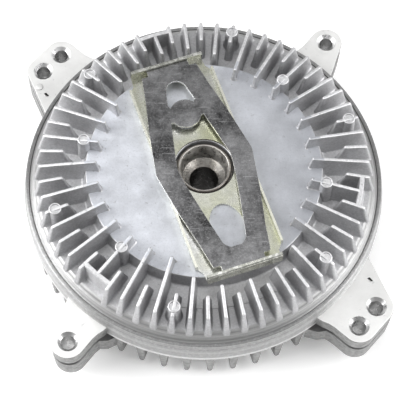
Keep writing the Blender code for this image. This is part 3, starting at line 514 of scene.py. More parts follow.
def housing_material():
    """Cast aluminium of the lugs and rear fins, bright on top, with blotchy painted shade on the upright
    flanks.
    """
    tones = colours()
    material, tree, shader, place = new_material("housing_aluminium", tones.housing, 0.5, 0.7)
    mottle = spread(tree, noise(tree, place, 48.0, 4.0), 0.3, 0.7)
    metal = tinted(tree, mottle, tones.housing, 0.88, 1.06)
    specks = spread(tree, noise(tree, place, 380.0, 2.0), 0.66, 0.75, 0.0, 0.35)
    metal = mixed(tree, specks, metal, shade(tones.fin_side, 0.8))
    # Painted shade: upright faces take a much darker, blotchy tone
    blotches = spread(tree, noise(tree, place, 420.0, 5.0, 0.7), 0.3, 0.7)
    painted_flank_shade = tinted(tree, blotches, tones.housing, 0.17, 0.4)
    metal = mixed(tree, facing_up(tree, 0.7, 0.3), metal, painted_flank_shade)
    grain = noise(tree, place, 800.0, 3.0, 0.7)
    coloured(tree, shader, metal, grain, 0.38, 0.6)
    coarse = bump(tree, shader, noise(tree, place, 240.0, 4.0), 0.25 * MM, 0.3)
    bump(tree, shader, grain, 0.1 * MM, 0.4, coarse)
    return material


def zinc_material():
    """Yellow passivated zinc with dark stains, worn grey on the lips, and painted highlights along the flange
    tops and on the upright faces.
    """
    tones = colours()
    material, tree, shader, place = new_material("yellow_zinc", tones.zinc, 0.35, 0.9)
    drift = spread(tree, noise(tree, place, 34.0, 3.0, 0.55), 0.36, 0.64)
    straw = (tones.zinc[0] * 0.98, tones.zinc[1] * 1.01, tones.zinc[2] * 0.92)
    grey = (tones.zinc[0] * 1.34, tones.zinc[1] * 1.36, tones.zinc[2] * 1.72)
    metal = mixed(tree, drift, straw, grey)
    stain = spread(tree, noise(tree, place, 260.0, 5.0, 0.7), 0.58, 0.76, 0.0, 0.45)
    metal = mixed(tree, stain, metal, shade(tones.zinc, 0.45))
    height = separated(tree, place)["Z"]
    flecks = spread(tree, noise(tree, place, 420.0, 4.0, 0.75), 0.48, 0.62)
    worn = mixed(tree, flecks, (0.45, 0.455, 0.42), (1.0, 1.0, 0.96))
    lip = spread(tree, height, PLATE_HIGH.z, PLATE_HIGH.z + 0.3 * MM, 0.0, 0.92)
    metal = mixed(tree, lip, metal, worn)
    # Painted highlight: a line along the flange tops and all upright faces are lightened towards near-white
    edge = product(tree, spread(tree, height, FLANGE_TOP - 0.5 * MM, FLANGE_TOP - 0.2 * MM),
                   spread(tree, height, PLATE_LOW.z + 0.4 * MM, PLATE_LOW.z))
    bright = arithmetic(tree, "MAXIMUM", edge, facing_up(tree, 0.8, 0.3))
    metal = mixed(tree, product(tree, bright, 0.8), metal, (0.86, 0.86, 0.76))
    fine = noise(tree, place, 700.0, 3.0)
    coloured(tree, shader, metal, fine, 0.2, 0.34)
    bump(tree, shader, fine, 0.06 * MM, 0.3)
    return material


def strip_material():
    """Dark rolled strip with pale specks and scratches, and bright sheared edges whitened further as a
    painted highlight.
    """
    tones = colours()
    material, tree, shader, place = new_material("bimetal_strip", tones.strip, 0.4, 0.85)
    cloud = spread(tree, noise(tree, place, 45.0, 6.0, 0.7), 0.36, 0.64)
    metal = tinted(tree, cloud, tones.strip, 0.28, 2.1)
    smear = spread(tree, noise(tree, place, 60.0, 6.0, 0.7), 0.52, 0.66, 0.0, 0.6)
    metal = mixed(tree, smear, metal, shade(tones.strip, 2.8))
    specks = spread(tree, noise(tree, place, 1500.0, 3.0, 0.7), 0.54, 0.7, 0.0, 0.6)
    metal = mixed(tree, specks, metal, shade(tones.strip, 3.4))
    stretched = node(tree, "ShaderNodeMapping")
    stretched.inputs["Rotation"].default_value = (0, 0, HOLDER_TURN + math.radians(20))
    stretched.inputs["Scale"].default_value = (1, 14, 1)
    tree.links.new(place, stretched.inputs["Vector"])
    scratches = spread(tree, noise(tree, stretched.outputs["Vector"], 90.0, 3.0), 0.62, 0.7, 0.0, 0.7)
    metal = mixed(tree, scratches, metal, shade(tones.strip, 3.0))
    # The bevelled edges are bright sheared metal, pushed to near-white as a painted highlight
    metal = mixed(tree, facing_up(tree, 0.99, 0.94), metal, (1.0, 1.0, 0.97))
    fine = noise(tree, place, 850.0, 3.0)
    coloured(tree, shader, metal, fine, 0.18, 0.36)
    bump(tree, shader, fine, 0.05 * MM, 0.3)
    return material


def turned_steel(name, colour, roughness=0.32, ring_pitch=0.35):
    """Steel with fine turning marks round the axis."""
    material, tree, shader, place = new_material(name, colour, roughness, 0.95)
    drift = spread(tree, noise(tree, place, 110.0, 3.0), 0.3, 0.7)
    metal = tinted(tree, drift, colour, 0.8, 1.25)
    coloured(tree, shader, metal, noise(tree, place, 500.0), roughness - 0.08, roughness + 0.12)
    along = arithmetic(tree, "ADD", axis_distance(tree, place), separated(tree, place)["Z"])
    waves = arithmetic(tree, "SINE", product(tree, along, math.tau / (ring_pitch * MM)), 0.0)
    bump(tree, shader, waves, 0.01 * MM, 0.5)
    return material


def hub_material():
    """Darkened turned steel with a bright machined counterbore and cone, and painted shade in the bore."""
    tone = colours().hub
    material = turned_steel("hub_steel", tone, 0.3, 0.5)
    tree = material.node_tree
    shader = tree.nodes["Principled BSDF"]
    dark = shader.inputs["Base Color"].links[0].from_socket
    brushed(tree, shader, 0.7)
    place = object_place(tree)
    radius = axis_distance(tree, place)
    patches = spread(tree, noise(tree, place, 160.0, 4.0), 0.35, 0.65)
    bright = mixed(tree, patches, (0.38, 0.365, 0.345), (0.85, 0.83, 0.8))
    machined = mixed(tree, spread(tree, radius, 12.25 * MM, 12.05 * MM), dark, bright)
    # Painted shade: the bore inside about 7 mm radius takes a near-black colour
    deep = spread(tree, radius, 7.3 * MM, 7.0 * MM)
    tree.links.new(mixed(tree, deep, machined, (0.1, 0.095, 0.09)), shader.inputs["Base Color"])
    return material


def soft_material(name, colour, roughness):
    """Rubber or moulded plastic with a faint grain."""
    material, tree, shader, place = new_material(name, colour, roughness, 0.0)
    cloudy = spread(tree, noise(tree, place, 200.0), 0.3, 0.7)
    tree.links.new(tinted(tree, cloudy, colour, 0.8, 1.3), shader.inputs["Base Color"])
    bump(tree, shader, noise(tree, place, 1200.0), 0.05 * MM, 0.4)
    return material


# Front cover

# Fin number 18 points along the holder
HOLDER_FIN = 18
FIN_PHASE = HOLDER_TURN + math.pi / 2 - math.radians(6 * HOLDER_FIN)
FIN_REFERENCE = 68.0 * MM
FIN_OUTER = 79.5 * MM
PAD_FINS = (18, 38, 58)
PAD_RADIUS = 74.0 * MM
PAD_THICKNESS = 3.3 * MM
OUTER_BOSS_FINS = (3, 13, 23, 33, 43, 53)
OUTER_BOSS_CIRCLE = 74.5 * MM
INNER_BOSS_FINS = (8, 28, 38, 58)
INNER_BOSS_CIRCLE = 59.0 * MM


def fin_top(radius):
    """Height of the fins' sloping tops at a distance from the axis."""
    values = sizes()
    return PARTING + values.fin_height - values.fin_slope * (radius - FIN_REFERENCE)


def fin_reach(index):
    """Top and foot radius of a fin's inner end; fins near the holder's ends stop short of it."""
    from_holder = abs((index - HOLDER_FIN + 15) % 30 - 15)
    if index % 2:
        return 67.9 * MM, 64.9 * MM
    if from_holder <= 2:
        return 63.2 * MM, 61.9 * MM
    if from_holder <= 4:
        return 59.3 * MM, 58.4 * MM
    return 51.65 * MM, 50.4 * MM


def fin_section(foot_radius, top_radius, base, narrow, drop, end):
    """A fin's outline at one place along it; end is -1 at its inner end, 1 at its outer end, else 0."""
    values = sizes()
    fillet, edge = values.root_fillet, values.edge_radius
    half_root, half_top = values.fin_root_width / 2, values.fin_top_width / 2
    full_top = fin_top(top_radius)
    top = full_top - drop
    half_base = half_top + (half_root - half_top) * ((full_top - base) / (full_top - FLOOR))
    flare = fillet * (0.1 if end == 1 else 1.0)
    levels = [(base - 0.3 * MM, half_base + flare), (base + 0.12 * MM, half_base + flare * 0.55),
              (base + fillet * 0.45, half_base + flare * 0.15), (base + fillet, half_base),
              (top - edge, half_top + 0.04 * MM), (top - edge * 0.3, half_top - edge * 0.3),
              (top, half_top - edge)]
    column = []
    for height, half in levels:
        share_up = max(0.0, min(1.0, (height - base) / (top - base)))
        radius = foot_radius + (top_radius - foot_radius) * share_up
        if end and share_up < 0.15:
            radius += (0.5 if end == 1 else -0.4) * fillet * (1 - share_up / 0.15)
        column.append(Vector((radius, max(half, 0.12 * MM) * narrow, height)))
    return column + [Vector((point.x, -point.y, point.z)) for point in column[::-1]]


def fin(index):
    """A drafted fin with a rounded top, rounded ends and a fillet round its foot."""
    inner_top, inner_foot = fin_reach(index)
    outer_top, outer_foot = FIN_OUTER, FIN_OUTER + 2.9 * MM
    if index in PAD_FINS:
        outer_top = outer_foot = PAD_RADIUS + PAD_THICKNESS / 2
    # Distance from an end, share of the full width there, and drop below the top
    ends = [(0.0, 0.5, 0.55 * MM), (0.35 * MM, 0.82, 0.18 * MM), (1.0 * MM, 1.0, 0.0)]
    stations = [(0, distance, narrow, drop, -1) for distance, narrow, drop in ends]
    stations += [(share, 0.0, 1.0, 0.0, 0) for share in (0.25, 0.5, 0.75)]
    stations.append((1, -2.0 * MM, 1.0, 0.0, 0))
    stations += [(1, -distance, narrow, drop, 1) for distance, narrow, drop in ends[::-1]]
    loops = []
    for share, distance, narrow, drop, end in stations:
        foot_radius = inner_foot + (outer_foot - inner_foot) * share + distance
        top_radius = inner_top + (outer_top - inner_top) * share + distance
        base = PLATEAU if foot_radius < PLATEAU_RADIUS - 0.3 * MM else FLOOR
        if share == 1 and index not in PAD_FINS:
            base -= max(0.0, foot_radius - RIM_START) * 1.5
        loops.append(fin_section(foot_radius, top_radius, base, narrow, drop, end))
    return turn(loft(loops), FIN_PHASE + index * math.tau / sizes().front_fins)


def ejector_boss(index, circle):
    """A round pad left by an ejector pin, dished on top, standing in a fin."""
    angle = FIN_PHASE + index * math.tau / sizes().front_fins
    top = fin_top(circle) + 0.45 * MM
    base = FLOOR if circle > PLATEAU_RADIUS else PLATEAU
    outline = [(0, base - 1 * MM), (4.6 * MM, base - 0.3 * MM), (3.95 * MM, base + 0.25 * MM),
               (3.62 * MM, base + 1.1 * MM), (3.05 * MM, top - 0.5 * MM), (2.9 * MM, top - 0.12 * MM),
               (2.65 * MM, top), (2.4 * MM, top - 0.05 * MM), (2.15 * MM, top - 0.8 * MM),
               (0, top - 0.9 * MM)]
    return turned(outline, 28, (circle * math.cos(angle), circle * math.sin(angle)))


def cover_pad(index):
    """A short wall along the rim that joins three fins."""
    values = sizes()
    middle = FIN_PHASE + index * math.tau / values.front_fins
    span = math.tau / values.front_fins * 1.04
    top = fin_top(PAD_RADIUS) - 0.3 * MM
    inner, outer = PAD_RADIUS, PAD_RADIUS + PAD_THICKNESS
    section = [(inner - 1.2 * MM, FLOOR - 0.3 * MM), (inner - 0.3 * MM, FLOOR + 0.6 * MM),
               (inner + 0.1 * MM, FLOOR + 1.4 * MM), (inner + 0.5 * MM, top - 0.5 * MM),
               (inner + 0.8 * MM, top), (outer - 0.8 * MM, top), (outer - 0.4 * MM, top - 0.5 * MM),
               (outer + 0.1 * MM, FLOOR + 1.4 * MM), (outer + 0.5 * MM, FLOOR + 0.5 * MM),
               (outer + 1.3 * MM, FLOOR - 0.3 * MM)]
    loops = []
    for step in range(9):
        angle = middle + span * (step / 4 - 1)
        loops.append([Vector((r * math.cos(angle), r * math.sin(angle), z)) for r, z in section])
    return loft(loops)


def cover_body():
    """The cover's turned casting, with its plateau, floor, stepped rim and hollow back."""
    low, parting, floor, plateau = (height / MM for height in (COVER_LOW.z, PARTING, FLOOR, PLATEAU))
    ceiling = parting + 0.6
    recess = plateau - 3.6
    collar = recess - 5.2
    corners = [
        (82.9, low, 0), (84.7, low + 1.8, 0), (84.7, parting - 1.2, 0), (85.02, parting - 0.9, 0),
        (85.02, parting - 0.05, 0.25), (84.1, parting + 0.5, 0.4), (83.75, parting + 1.5, 0.5),
        (83.3, parting + 2.8, 0.5), (82.35, parting + 3.35, 0.5), (81.6, parting + 4.8, 0.5),
        (80.7, floor, 0.5), (69.9, floor, 0), (69.7, floor + 0.22, 0), (58.9, floor + 0.3, 1.4),
        (PLATEAU_RADIUS / MM, plateau, 0.5), (14.4, plateau, 0.4), (14.4, collar, 0), (19.0, collar, 0),
        (19.0, recess, 0.5), (48.5, recess, 0.5), (48.5, ceiling, 0), (79.7, ceiling, 0.3)]
    return turned(rounded_mm(corners, 4), 240)


def pin_hole():
    """The tools for the pin's hole and its seal pocket."""
    tools = []
    for radius, low in ((2.7 * MM, 0), (4.6 * MM, PLATEAU - 1.9 * MM)):
        tools.append(turned([(0, low), (radius, low), (radius, 1), (0, 1)], 32, PIN_PLACE[:2]))
    return tools


class CLUTCH_OT_front_cover(bpy.types.Operator):
    """Build the finned front cover"""

    bl_idname = "clutch.front_cover"
    bl_label = "Front Cover"

    def execute(self, context):
        shapes = [fin(index) for index in range(sizes().front_fins)]
        shapes += [ejector_boss(index, OUTER_BOSS_CIRCLE) for index in OUTER_BOSS_FINS]
        shapes += [ejector_boss(index, INNER_BOSS_CIRCLE) for index in INNER_BOSS_FINS]
        shapes += [cover_pad(index) for index in PAD_FINS]
        whole = merged([cut(cover_body(), pin_hole())] + [coated(shape, CAST) for shape in shapes])
        finishes = [cover_material("turned_cast_aluminium", True), cover_material("cast_aluminium", False)]
        piece("front_cover_casting", whole, finishes, "housing", ["front_cover"])
        return {"FINISHED"}


# Rear housing

LUG_HOLE_CIRCLE = 103.84 * MM
LUG_HOLE_RADIUS = 3.4 * MM
LUG_TIP = 8.3 * MM
LUG_FACE_DROP = 6.5 * MM
LUG_DEPTH = 23.2 * MM
LUG_ANGLE = math.radians(53.67)
TWIN_ANGLE = math.radians(7.24)
REAR_FIN_INNER = 46.0 * MM
REAR_FIN_OUTER = 87.4 * MM


def lug_outline(half, inset, web):
    """A lug's outline, x along the rim and y outwards; one flank flares widely, the other only in the web."""
    tip = LUG_TIP - inset
    straight = half + tip
    flare = half * 0.4 + 7.2 * MM - inset
    root = 84.0 * MM
    right = arc_points((half, LUG_HOLE_CIRCLE), tip, 38, 90, 8)
    left = arc_points((-half, LUG_HOLE_CIRCLE), tip, 90, 180, 12)
    if half == 0:
        left = left[1:]
    flank = [Vector((straight + flare, root)), Vector((straight + flare * 0.8, 88 * MM + inset))]
    other = [Vector((-straight, 95.5 * MM)), Vector((-straight - 0.5 * MM, 92.2 * MM)),
             Vector((-straight - (1.4 + 2.2 * web) * MM, 89.6 * MM)),
             Vector((-straight - (2.4 + 4.0 * web) * MM, root))]
    return flank + right + left + other


def lug(index):
    """A fan lug: a face plate on a deep web, with chamfered holes and, on a pair, a small cast slot."""
    twin = index % 2 == 1
    half = LUG_HOLE_CIRCLE * math.sin(TWIN_ANGLE / 2) if twin else 0.0
    face = PARTING - LUG_FACE_DROP
    side = -1 if twin else 1
    # Inset of the outline, depth below the face, and how far the web's flank flares
    tiers = [(0.55, 0.0, 0), (0.15, 0.14, 0), (0.0, 0.55, 0), (0.3, 8.5, 0), (0.6, 8.8, 0), (1.3, 8.9, 0),
             (1.3, 10.0, 0.5), (0.5, 10.2, 1), (0.1, 10.5, 1), (0.3, 22.4, 1), (0.5, 22.9, 1),
             (1.0, LUG_DEPTH / MM, 1)]
    loops = []
    for inset, drop, web in tiers:
        outline = lug_outline(half, inset * MM, web)
        loops.append([Vector((side * point.x, point.y, face - drop * MM)) for point in outline])
    holes = [Vector((x, LUG_HOLE_CIRCLE)) for x in sorted({half, -half})]
    tools = [drilled_hole(hole, face) for hole in holes]
    if twin:
        tools.append(cast_slot(face))
    whole = cut(loft(loops), tools)
    for wall in whole.faces:
        wall.material_index = lug_finish(wall, holes, face)
    if index == 1:
        whole = merged([whole, cast_lump(face)])
    angle = LUG_ANGLE + index * math.pi / 2 - (TWIN_ANGLE / 2 if twin else 0)
    return turn(whole, angle - math.pi / 2)


def lug_finish(wall, holes, face):
    """The number of the finish that one of a lug's faces takes."""
    middle = wall.calc_center_median()
    near = min((middle.to_2d() - hole).length for hole in holes)
    # Painted shade: faces inside a hole's bore take the darker bore finish; the chamfer keeps its bright
    # machined tone
    if near < 4.8 * MM and abs(wall.normal.z) < 0.95:
        return CHAMFER if wall.normal.z > 0.3 else BORE_SHADE
    # Painted shade: faces in the groove under the face plate take a near-black finish
    if face - 10.6 * MM < middle.z < face - 8.6 * MM:
        return GROOVE_SHADE
    return CAST


def cast_slot(face):
    """The tool for the small slot in a twin lug's face."""
    outline = [(-14.9, 91.6), (-16.2, 92.0), (-15.8, 94.4), (-14.6, 94.0)]
    return slab([(x * MM, y * MM) for x, y in outline], face - 2.2 * MM, face + 1 * MM)


def cast_lump(face):
    """The round lump on the face of one twin lug."""
    outline = [(0, face - 2 * MM, 0), (1.9 * MM, face - 2 * MM, 0), (1.9 * MM, face + 0.5 * MM, 0.6 * MM),
               (0, face + 0.75 * MM, 0)]
    return coated(turned(rounded(outline), 16, (-14.6 * MM, 98.8 * MM)), CAST)


def drilled_hole(place, face):
    """The tool that leaves a chamfered hole in a lug."""
    deep = face - LUG_DEPTH - 2 * MM
    outline = [(0, face + 1 * MM), (5.9 * MM, face + 1 * MM), (4.9 * MM, face),
               (LUG_HOLE_RADIUS, face - 1.5 * MM), (LUG_HOLE_RADIUS, deep), (0, deep)]
    return turned(outline, 40, place)


def rear_fin(index):
    """A drafted cooling fin on the back of the housing."""
    low = HOUSING_LOW.z + 0.05 * MM
    high = PARTING - 15.0 * MM
    loops = []
    for distance, narrow in ((0.0, 0.5), (0.5 * MM, 0.9), (1.2 * MM, 1.0)):
        loops.append(rear_fin_section(REAR_FIN_INNER + distance, low + 2 * MM, high, narrow, 0.0))
    for distance, narrow in ((1.2 * MM, 1.0), (0.4 * MM, 0.88), (0.0, 0.5)):
        loops.append(rear_fin_section(REAR_FIN_OUTER - distance, low, high, narrow, 0.5 * MM))
    return coated(turn(loft(loops), (index + 0.5) * math.tau / sizes().rear_fins), CAST)


def rear_fin_section(radius, low, high, narrow, lean):
    """A rear fin's outline at a radius; its tip leans in towards the axis."""
    column = [(0, 3.4 * MM, high + 0.6 * MM), (0, 2.8 * MM, high - 0.6 * MM), (0, 2.6 * MM, high - 1.6 * MM),
              (lean, 1.45 * MM, low + 0.6 * MM), (lean, 1.3 * MM, low + 0.15 * MM), (lean, 1.0 * MM, low)]
    points = [Vector((radius - inwards, half * narrow, height)) for inwards, half, height in column]
    return points + [Vector((point.x, -point.y, point.z)) for point in points[::-1]]


def housing_body():
    """The housing's turned casting, with its rim, chamber and bearing boss."""
    low, parting, top = (height / MM for height in (HOUSING_LOW.z, PARTING, HOUSING_HIGH.z))
    back = parting - 15.5
    floor = parting - 11.1
    corners = [
        (85.3, parting - 3.3, 0), (85.3, top, 0.25), (86.9, top, 0.4), (87.3, parting - 0.6, 0.3),
        (87.45, parting - 3.2, 0.5), (88.0, parting - 5.2, 0.5), (88.0, back + 0.9, 0.4),
        (87.2, back, 0.3), (87.2, back - 1.8, 0.5), (86.6, back - 2.3, 0.5), (83.4, back - 2.3, 0.5),
        (82.8, back, 0.8), (37.0, back, 1.2), (36.0, low, 0.6), (31.3, low, 0.4),
        (31.3, floor - 1.7, 0), (22.9, floor - 1.7, 0), (22.9, floor, 0.4), (58.7, floor, 0),
        (58.7, floor + 8.0, 0.2), (61.3, floor + 8.0, 0.2), (61.3, floor, 0), (80.0, floor, 1.5),
        (80.0, parting - 3.3, 0.2)]
    return turned(rounded_mm(corners, 4), 240)


class CLUTCH_OT_rear_housing(bpy.types.Operator):
    """Build the rear housing with its lugs and fins"""

    bl_idname = "clutch.rear_housing"
    bl_label = "Rear Housing"

    def execute(self, context):
        shapes = [housing_body()]
        shapes += [rear_fin(index) for index in range(sizes().rear_fins)]
        shapes += [lug(index) for index in range(4)]
        finishes = [turned_housing_material(), housing_material(),
                    turned_steel("chamfer_aluminium", (0.75, 0.75, 0.75), 0.3, 1.0),
                    # The bore and groove finishes are painted shade in the lug holes and under the face
                    # plates
                    turned_steel("bore_painted_shade", (0.43, 0.43, 0.43), 0.3, 1.25),
                    turned_steel("groove_painted_shade", (0.17, 0.17, 0.17), 0.5, 1.0)]
        piece("rear_housing_casting", merged(shapes), finishes, "housing", ["rear_housing"])
        return {"FINISHED"}


# Hub

class CLUTCH_OT_hub(bpy.types.Operator):
    """Build the turned hub shaft"""

    bl_idname = "clutch.hub"
    bl_label = "Hub Shaft"

    def execute(self, context):
        top = HUB_HIGH.z / MM
        cone = top - 9.9
        corners = [
            (11.0, 0.0, 0), (26.0, 0.0, 0.6), (26.0, 5.0, 0.6), (18.0, 5.0, 0.4), (18.0, 10.6, 0.3),
            (14.7, 10.6, 0), (14.7, 26.9, 0.2), (13.7, 26.9, 0), (13.7, 37.2, 0.2), (11.9, 37.2, 0),
            (11.9, 39.1, 0), (12.9, 39.1, 0.1), (12.9, top - 0.35, 0.25), (12.45, top, 0.15),
            (11.9, top, 0.15), (11.7, top - 0.5, 0.2), (10.4, cone, 0.2), (6.9, cone - 4.0, 0.3),
            (6.9, 3.0, 0.2), (11.0, 3.0, 0.2)]
        shape = turned(rounded_mm(corners, 3), 160)
        piece("hub_shaft_turning", shape, [hub_material()], "hub", ["hub_shaft"])
        return {"FINISHED"}


# Holder

# The folded walls lie just inside the base's two faces
BASE_THICKNESS = 1.2 * MM
FOLD_LOW = HOLDER_LOW.z + 0.04 * MM
FOLD_THICKNESS = 1.12 * MM
FOLD_RADIUS = 1.3 * MM
HOLDER_END = 18.4 * MM


def holder_base():
    """The holder's flat base with its notched ends, round hub hole and two oval windows."""
    low, high = HOLDER_LOW.z, HOLDER_LOW.z + BASE_THICKNESS
    corners = [(21.0 * MM, 49.4 * MM, 0.8 * MM), (HOLDER_END + 0.3 * MM, 52.4 * MM, 1.0 * MM),
               (HOLDER_END, 57.0 * MM, 0.0)]
    corners += [(-x, y, r) for x, y, r in corners[::-1]]
    corners += [(-x, -y, r) for x, y, r in corners]
    windows = [arc_points((0, 0), 14.6 * MM, 0, 357, 120)]
    for sign in (1, -1):
        windows.append([(8.4 * MM * math.cos(a), sign * 35.0 * MM + 13.7 * MM * math.sin(a))
                        for a in (math.tau * step / 64 for step in range(64))])
    return bevelled(sheet(rounded(corners, 4), windows, low, high), 0.15 * MM, 32.0)


def folded_sheet(corners, half_length, along):
    """Sheet folded along (across, height, bend) corners of its outside line, equally long both ways."""
    points = rounded(corners, 5)
    inner = []
    for index, point in enumerate(points):
        before = (point - points[index - 1]).normalized() if index else None
        after = (points[index + 1] - point).normalized() if index < len(points) - 1 else None
        direction = ((before or after) + (after or before)).normalized()
        normal = Vector((-direction.y, direction.x))
        stretch = 1.0
        if before and after:
            stretch = 1 / max(0.5, normal.dot(Vector((-before.y, before.x))))
        inner.append(point + normal * FOLD_THICKNESS * stretch)
    section = points + inner[::-1]
    loops = []
    for place in (-half_length, half_length):
        if along == "y":
            loops.append([Vector((p.x, place, p.y)) for p in section])
        else:
            loops.append([Vector((place, p.x, p.y)) for p in section])
    return loft(loops)


def holder_walls():
    """One of the two low side flanges, and one end wall with the lip that holds the strip down."""
    side, end, top = 21.7 * MM, 58.0 * MM, HOLDER_HIGH.z
    flange = [(side - FOLD_RADIUS, FOLD_LOW, 0), (side, FOLD_LOW, FOLD_RADIUS), (side, FLANGE_TOP, 0)]
    wall = [(56.6 * MM, FOLD_LOW, 0), (end, FOLD_LOW, FOLD_RADIUS), (end, top, FOLD_RADIUS),
            (56.1 * MM, top, 0)]
    return [folded_sheet(flange, 49.6 * MM, "y"), folded_sheet(wall, HOLDER_END, "x")]


class CLUTCH_OT_holder(bpy.types.Operator):
    """Build the folded holder of the bimetal strip"""

    bl_idname = "clutch.holder"
    bl_label = "Strip Holder"

    def execute(self, context):
        shapes = [holder_base()]
        for half_turn in (0.0, math.pi):
            shapes += [bevelled(turn(wall, half_turn), 0.12 * MM, 50.0) for wall in holder_walls()]
        whole = turn(merged(shapes), HOLDER_TURN)
        finishes = [zinc_material()]
        piece("bimetal_holder_pressing", whole, finishes, "housing", ["bimetal_holder"])
        return {"FINISHED"}


# Strip

# Millimetres from the axis to the middle of the bridge and to the shoulders behind the tabs
BRIDGE = 28.0
SHOULDER = 53.0

BOW_STEP = 4 * MM


def strip_outline():
    """The lozenge, with a tab at each end that goes under the holder's lip."""
    quarter = [(24.2, 0.0, 9.0), (20.1, 23.5, 4.0), (16.6, 39.0, 6.0), (14.1, SHOULDER, 0.5),
               (10.6, SHOULDER, 0.5), (10.6, 56.45, 0.3)]
    upper = quarter + [(-x, y, r) for x, y, r in quarter[::-1]]
    return rounded_mm(upper + [(-x, -y, r) for x, y, r in upper[1:-1]], 6)


def d_window():
    """The D-shaped window above the bridge."""
    dome = arc_points((0, 41.4 * MM), 5.1 * MM, 8, 172, 20)
    bottom = arc_points((0, BRIDGE * MM), 7.6 * MM, 90 + 52, 90 - 52, 14)
    return dome + [Vector((-6.9 * MM, 34.3 * MM))] + bottom + [Vector((6.9 * MM, 34.3 * MM))]


def hub_window():
    """The long window round the hub, with the bridge's round lobe and its two cusps."""
    lobe = arc_points((0, BRIDGE), 7.7, 270 - 63, 270 + 63, 18)
    right = [(8.3, 25.0, 0.3), (13.5, 0.6, 5.0), (12.4, -9.0, 30.0), (7.9, -32.0, 30.0), (5.6, -43.0, 3.0),
             (3.0, -45.6, 1.8)]
    left = [(-x, y, r) for x, y, r in right[::-1]]
    return rounded_mm(right + left + [(point.x, point.y, 0) for point in lobe], 6)


def sliced(shape, distance, keep=0):
    """Cuts a shape across at a distance along Y; it keeps both sides, or the one that keep points to."""
    parts = shape.verts[:] + shape.edges[:] + shape.faces[:]
    bmesh.ops.bisect_plane(shape, geom=parts, dist=0.001 * MM, plane_co=(0, distance, 0), plane_no=(0, 1, 0),
                           clear_outer=keep < 0, clear_inner=keep > 0)
    return shape


class CLUTCH_OT_strip(bpy.types.Operator):
    """Build the bimetal strip in two flat spans that meet at the control pin, each cut across every few
    millimetres
    """

    bl_idname = "clutch.strip"
    bl_label = "Bimetal Strip"

    def execute(self, context):
        windows = [d_window(), hub_window()]
        whole = bevelled(sheet(strip_outline(), windows, PLATE_LOW.z, PLATE_HIGH.z), 0.42 * MM, 60.0)
        for step in range(-13, 14):
            sliced(whole, step * BOW_STEP)
        material = strip_material()
        for name, side in (("bimetal_strip_short_span", 1), ("bimetal_strip_long_span", -1)):
            span = turn(sliced(whole.copy(), PIN_DISTANCE, side), HOLDER_TURN)
            made = finished(name, span, [material], ["bimetal_plate"])
            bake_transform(made)
        whole.free()
        return {"FINISHED"}


# Small and inner parts keep the frame's shapes

class CLUTCH_OT_small_parts(bpy.types.Operator):
    """Give the frame's remaining nodes their finishes"""

    bl_idname = "clutch.small_parts"
    bl_label = "Small Parts"

    def execute(self, context):
        bright = turned_steel("bright_steel", (0.58, 0.58, 0.59), 0.25)
        pressed = turned_steel("pressed_steel", (0.42, 0.42, 0.41), 0.4, 0.8)
        light = turned_steel("rotor_aluminium", (0.62, 0.62, 0.63), 0.4, 0.6)
        rubber = soft_material("seal_rubber", (0.03, 0.03, 0.03), 0.7)
        plastic = soft_material("cage_plastic", (0.45, 0.38, 0.24), 0.5)
        bush = soft_material("bush_plastic", (0.11, 0.1, 0.09), 0.45)
        finishes = {
            "partition_plate": pressed, "bearing_shield": pressed, "rotor_disc": light,
            "cover_seal": rubber, "pin_seal": rubber, "front_shaft_bush": bush, "bearing_cage": plastic}
        for name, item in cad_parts.items():
            if item.hide_render:
                continue
            item.data.materials.clear()
            item.data.materials.append(finishes.get(name, bright))
        return {"FINISHED"}


# Stage

# The camera's place was fitted to the photograph
CAMERA_ELEVATION = math.radians(65.08)
CAMERA_ROLL = math.radians(1.69)
CAMERA_DISTANCE = 679.0 * MM
CAMERA_TARGET = Vector((-1.57 * MM, -11.57 * MM, PARTING))
CAMERA_LENS = 125.64
LAMP_TARGET = Vector((0, 0, 0.03))


def camera():
    """The camera, looking down at the front cover with a slight roll."""
    data = bpy.data.cameras.new("camera")
    data.lens = CAMERA_LENS
    data.sensor_width = 36.0
    data.clip_start = 0.01
    made = linked("camera", data)
    back = Vector((0, -math.cos(CAMERA_ELEVATION), math.sin(CAMERA_ELEVATION)))
    up = Vector((0, math.sin(CAMERA_ELEVATION), math.cos(CAMERA_ELEVATION)))
    across = Vector((1, 0, 0))
    right = across * math.cos(CAMERA_ROLL) + up * math.sin(CAMERA_ROLL)
    upward = up * math.cos(CAMERA_ROLL) - across * math.sin(CAMERA_ROLL)
    turned_to = Matrix((right, upward, back)).transposed().to_4x4()
    made.matrix_world = Matrix.Translation(CAMERA_TARGET + back * CAMERA_DISTANCE) @ turned_to
    bpy.context.scene.camera = made


def softbox(name, place, width, height, power):
    """A rectangular lamp that looks at the clutch."""
    data = bpy.data.lights.new(name, "AREA")
    data.shape = "RECTANGLE"
    data.size = width
    data.size_y = height
    data.energy = power
    made = linked(name, data)
    made.location = place
    made.rotation_euler = (LAMP_TARGET - Vector(place)).to_track_quat("-Z", "Y").to_euler()


def studio_floor():
    """A white floor that glows faintly."""
    tone = colours().floor
    shape = bmesh.new()
    bmesh.ops.create_grid(shape, x_segments=4, y_segments=4, size=6.0)
    made = loose_object("studio_floor", shape)
    material, tree, shader, place = new_material("studio_floor", tone, 0.9, 0.0)
    cloudy = noise(tree, place, 3.0)
    tree.links.new(tinted(tree, cloudy, tone, 0.99, 1.01), shader.inputs["Base Color"])
    shader.inputs["Emission Color"].default_value = (1, 1, 1, 1)
    shader.inputs["Emission Strength"].default_value = 0.2
    made.data.materials.append(material)


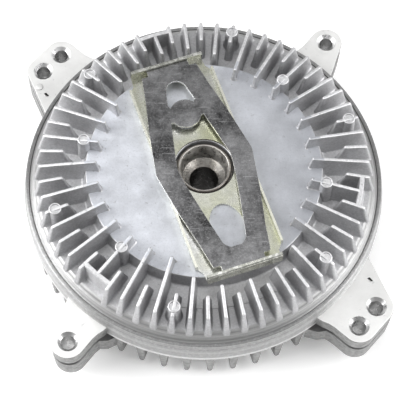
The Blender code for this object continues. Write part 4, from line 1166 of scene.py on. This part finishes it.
def studio_world():
    """A white room that is greyer on the camera's side."""
    world = bpy.data.worlds.new("studio")
    world.use_nodes = True
    tree = world.node_tree
    way = node(tree, "ShaderNodeTexCoord").outputs["Generated"]
    behind = spread(tree, separated(tree, way)["Y"], -0.9, 0.7)
    background = tree.nodes["Background"]
    tree.links.new(mixed(tree, behind, (0.55, 0.55, 0.55), (1, 1, 1)), background.inputs["Color"])
    background.inputs["Strength"].default_value = 0.42
    bpy.context.scene.world = world


class CLUTCH_OT_stage(bpy.types.Operator):
    """Set up the floor, the lights and the camera"""

    bl_idname = "clutch.stage"
    bl_label = "Stage"

    def execute(self, context):
        studio_floor()
        studio_world()
        softbox("left_softbox", (-1.0, -0.05, 0.62), 0.9, 1.1, 18.2)
        softbox("right_softbox", (1.0, -0.1, 0.6), 0.9, 1.1, 13.2)
        softbox("top_softbox", (-0.1, 0.15, 1.3), 0.8, 0.8, 2.1)
        camera()
        context.scene.view_settings.view_transform = "Standard"
        context.scene.view_settings.exposure = 0.0
        return {"FINISHED"}


class CLUTCH_PT_panel(bpy.types.Panel):
    """Buttons for the clutch's pieces"""

    bl_label = "Fan Clutch"
    bl_idname = "CLUTCH_PT_panel"
    bl_space_type = "VIEW_3D"
    bl_region_type = "UI"
    bl_category = "Fan Clutch"

    def draw(self, context):
        for group in (context.scene.clutch_sizes, context.scene.clutch_colours):
            for key in group.bl_rna.properties.keys():
                if key not in {"rna_type", "name"}:
                    self.layout.prop(group, key)
        for operator in OPERATORS:
            self.layout.operator(operator.bl_idname)


OPERATORS = (CLUTCH_OT_front_cover, CLUTCH_OT_rear_housing, CLUTCH_OT_hub, CLUTCH_OT_holder,
             CLUTCH_OT_strip, CLUTCH_OT_small_parts, CLUTCH_OT_stage)
CLASSES = (ClutchSizes, ClutchColours, *OPERATORS, CLUTCH_PT_panel)


def register():
    for item in CLASSES:
        bpy.utils.register_class(item)
    bpy.types.Scene.clutch_sizes = PointerProperty(type=ClutchSizes)
    bpy.types.Scene.clutch_colours = PointerProperty(type=ClutchColours)


def unregister():
    del bpy.types.Scene.clutch_colours
    del bpy.types.Scene.clutch_sizes
    for item in reversed(CLASSES):
        bpy.utils.unregister_class(item)


def main():
    register()
    bpy.ops.clutch.front_cover()
    bpy.ops.clutch.rear_housing()
    bpy.ops.clutch.hub()
    bpy.ops.clutch.holder()
    bpy.ops.clutch.strip()
    bpy.ops.clutch.small_parts()
    bpy.ops.clutch.stage()


if __name__ == "__main__":
    main()
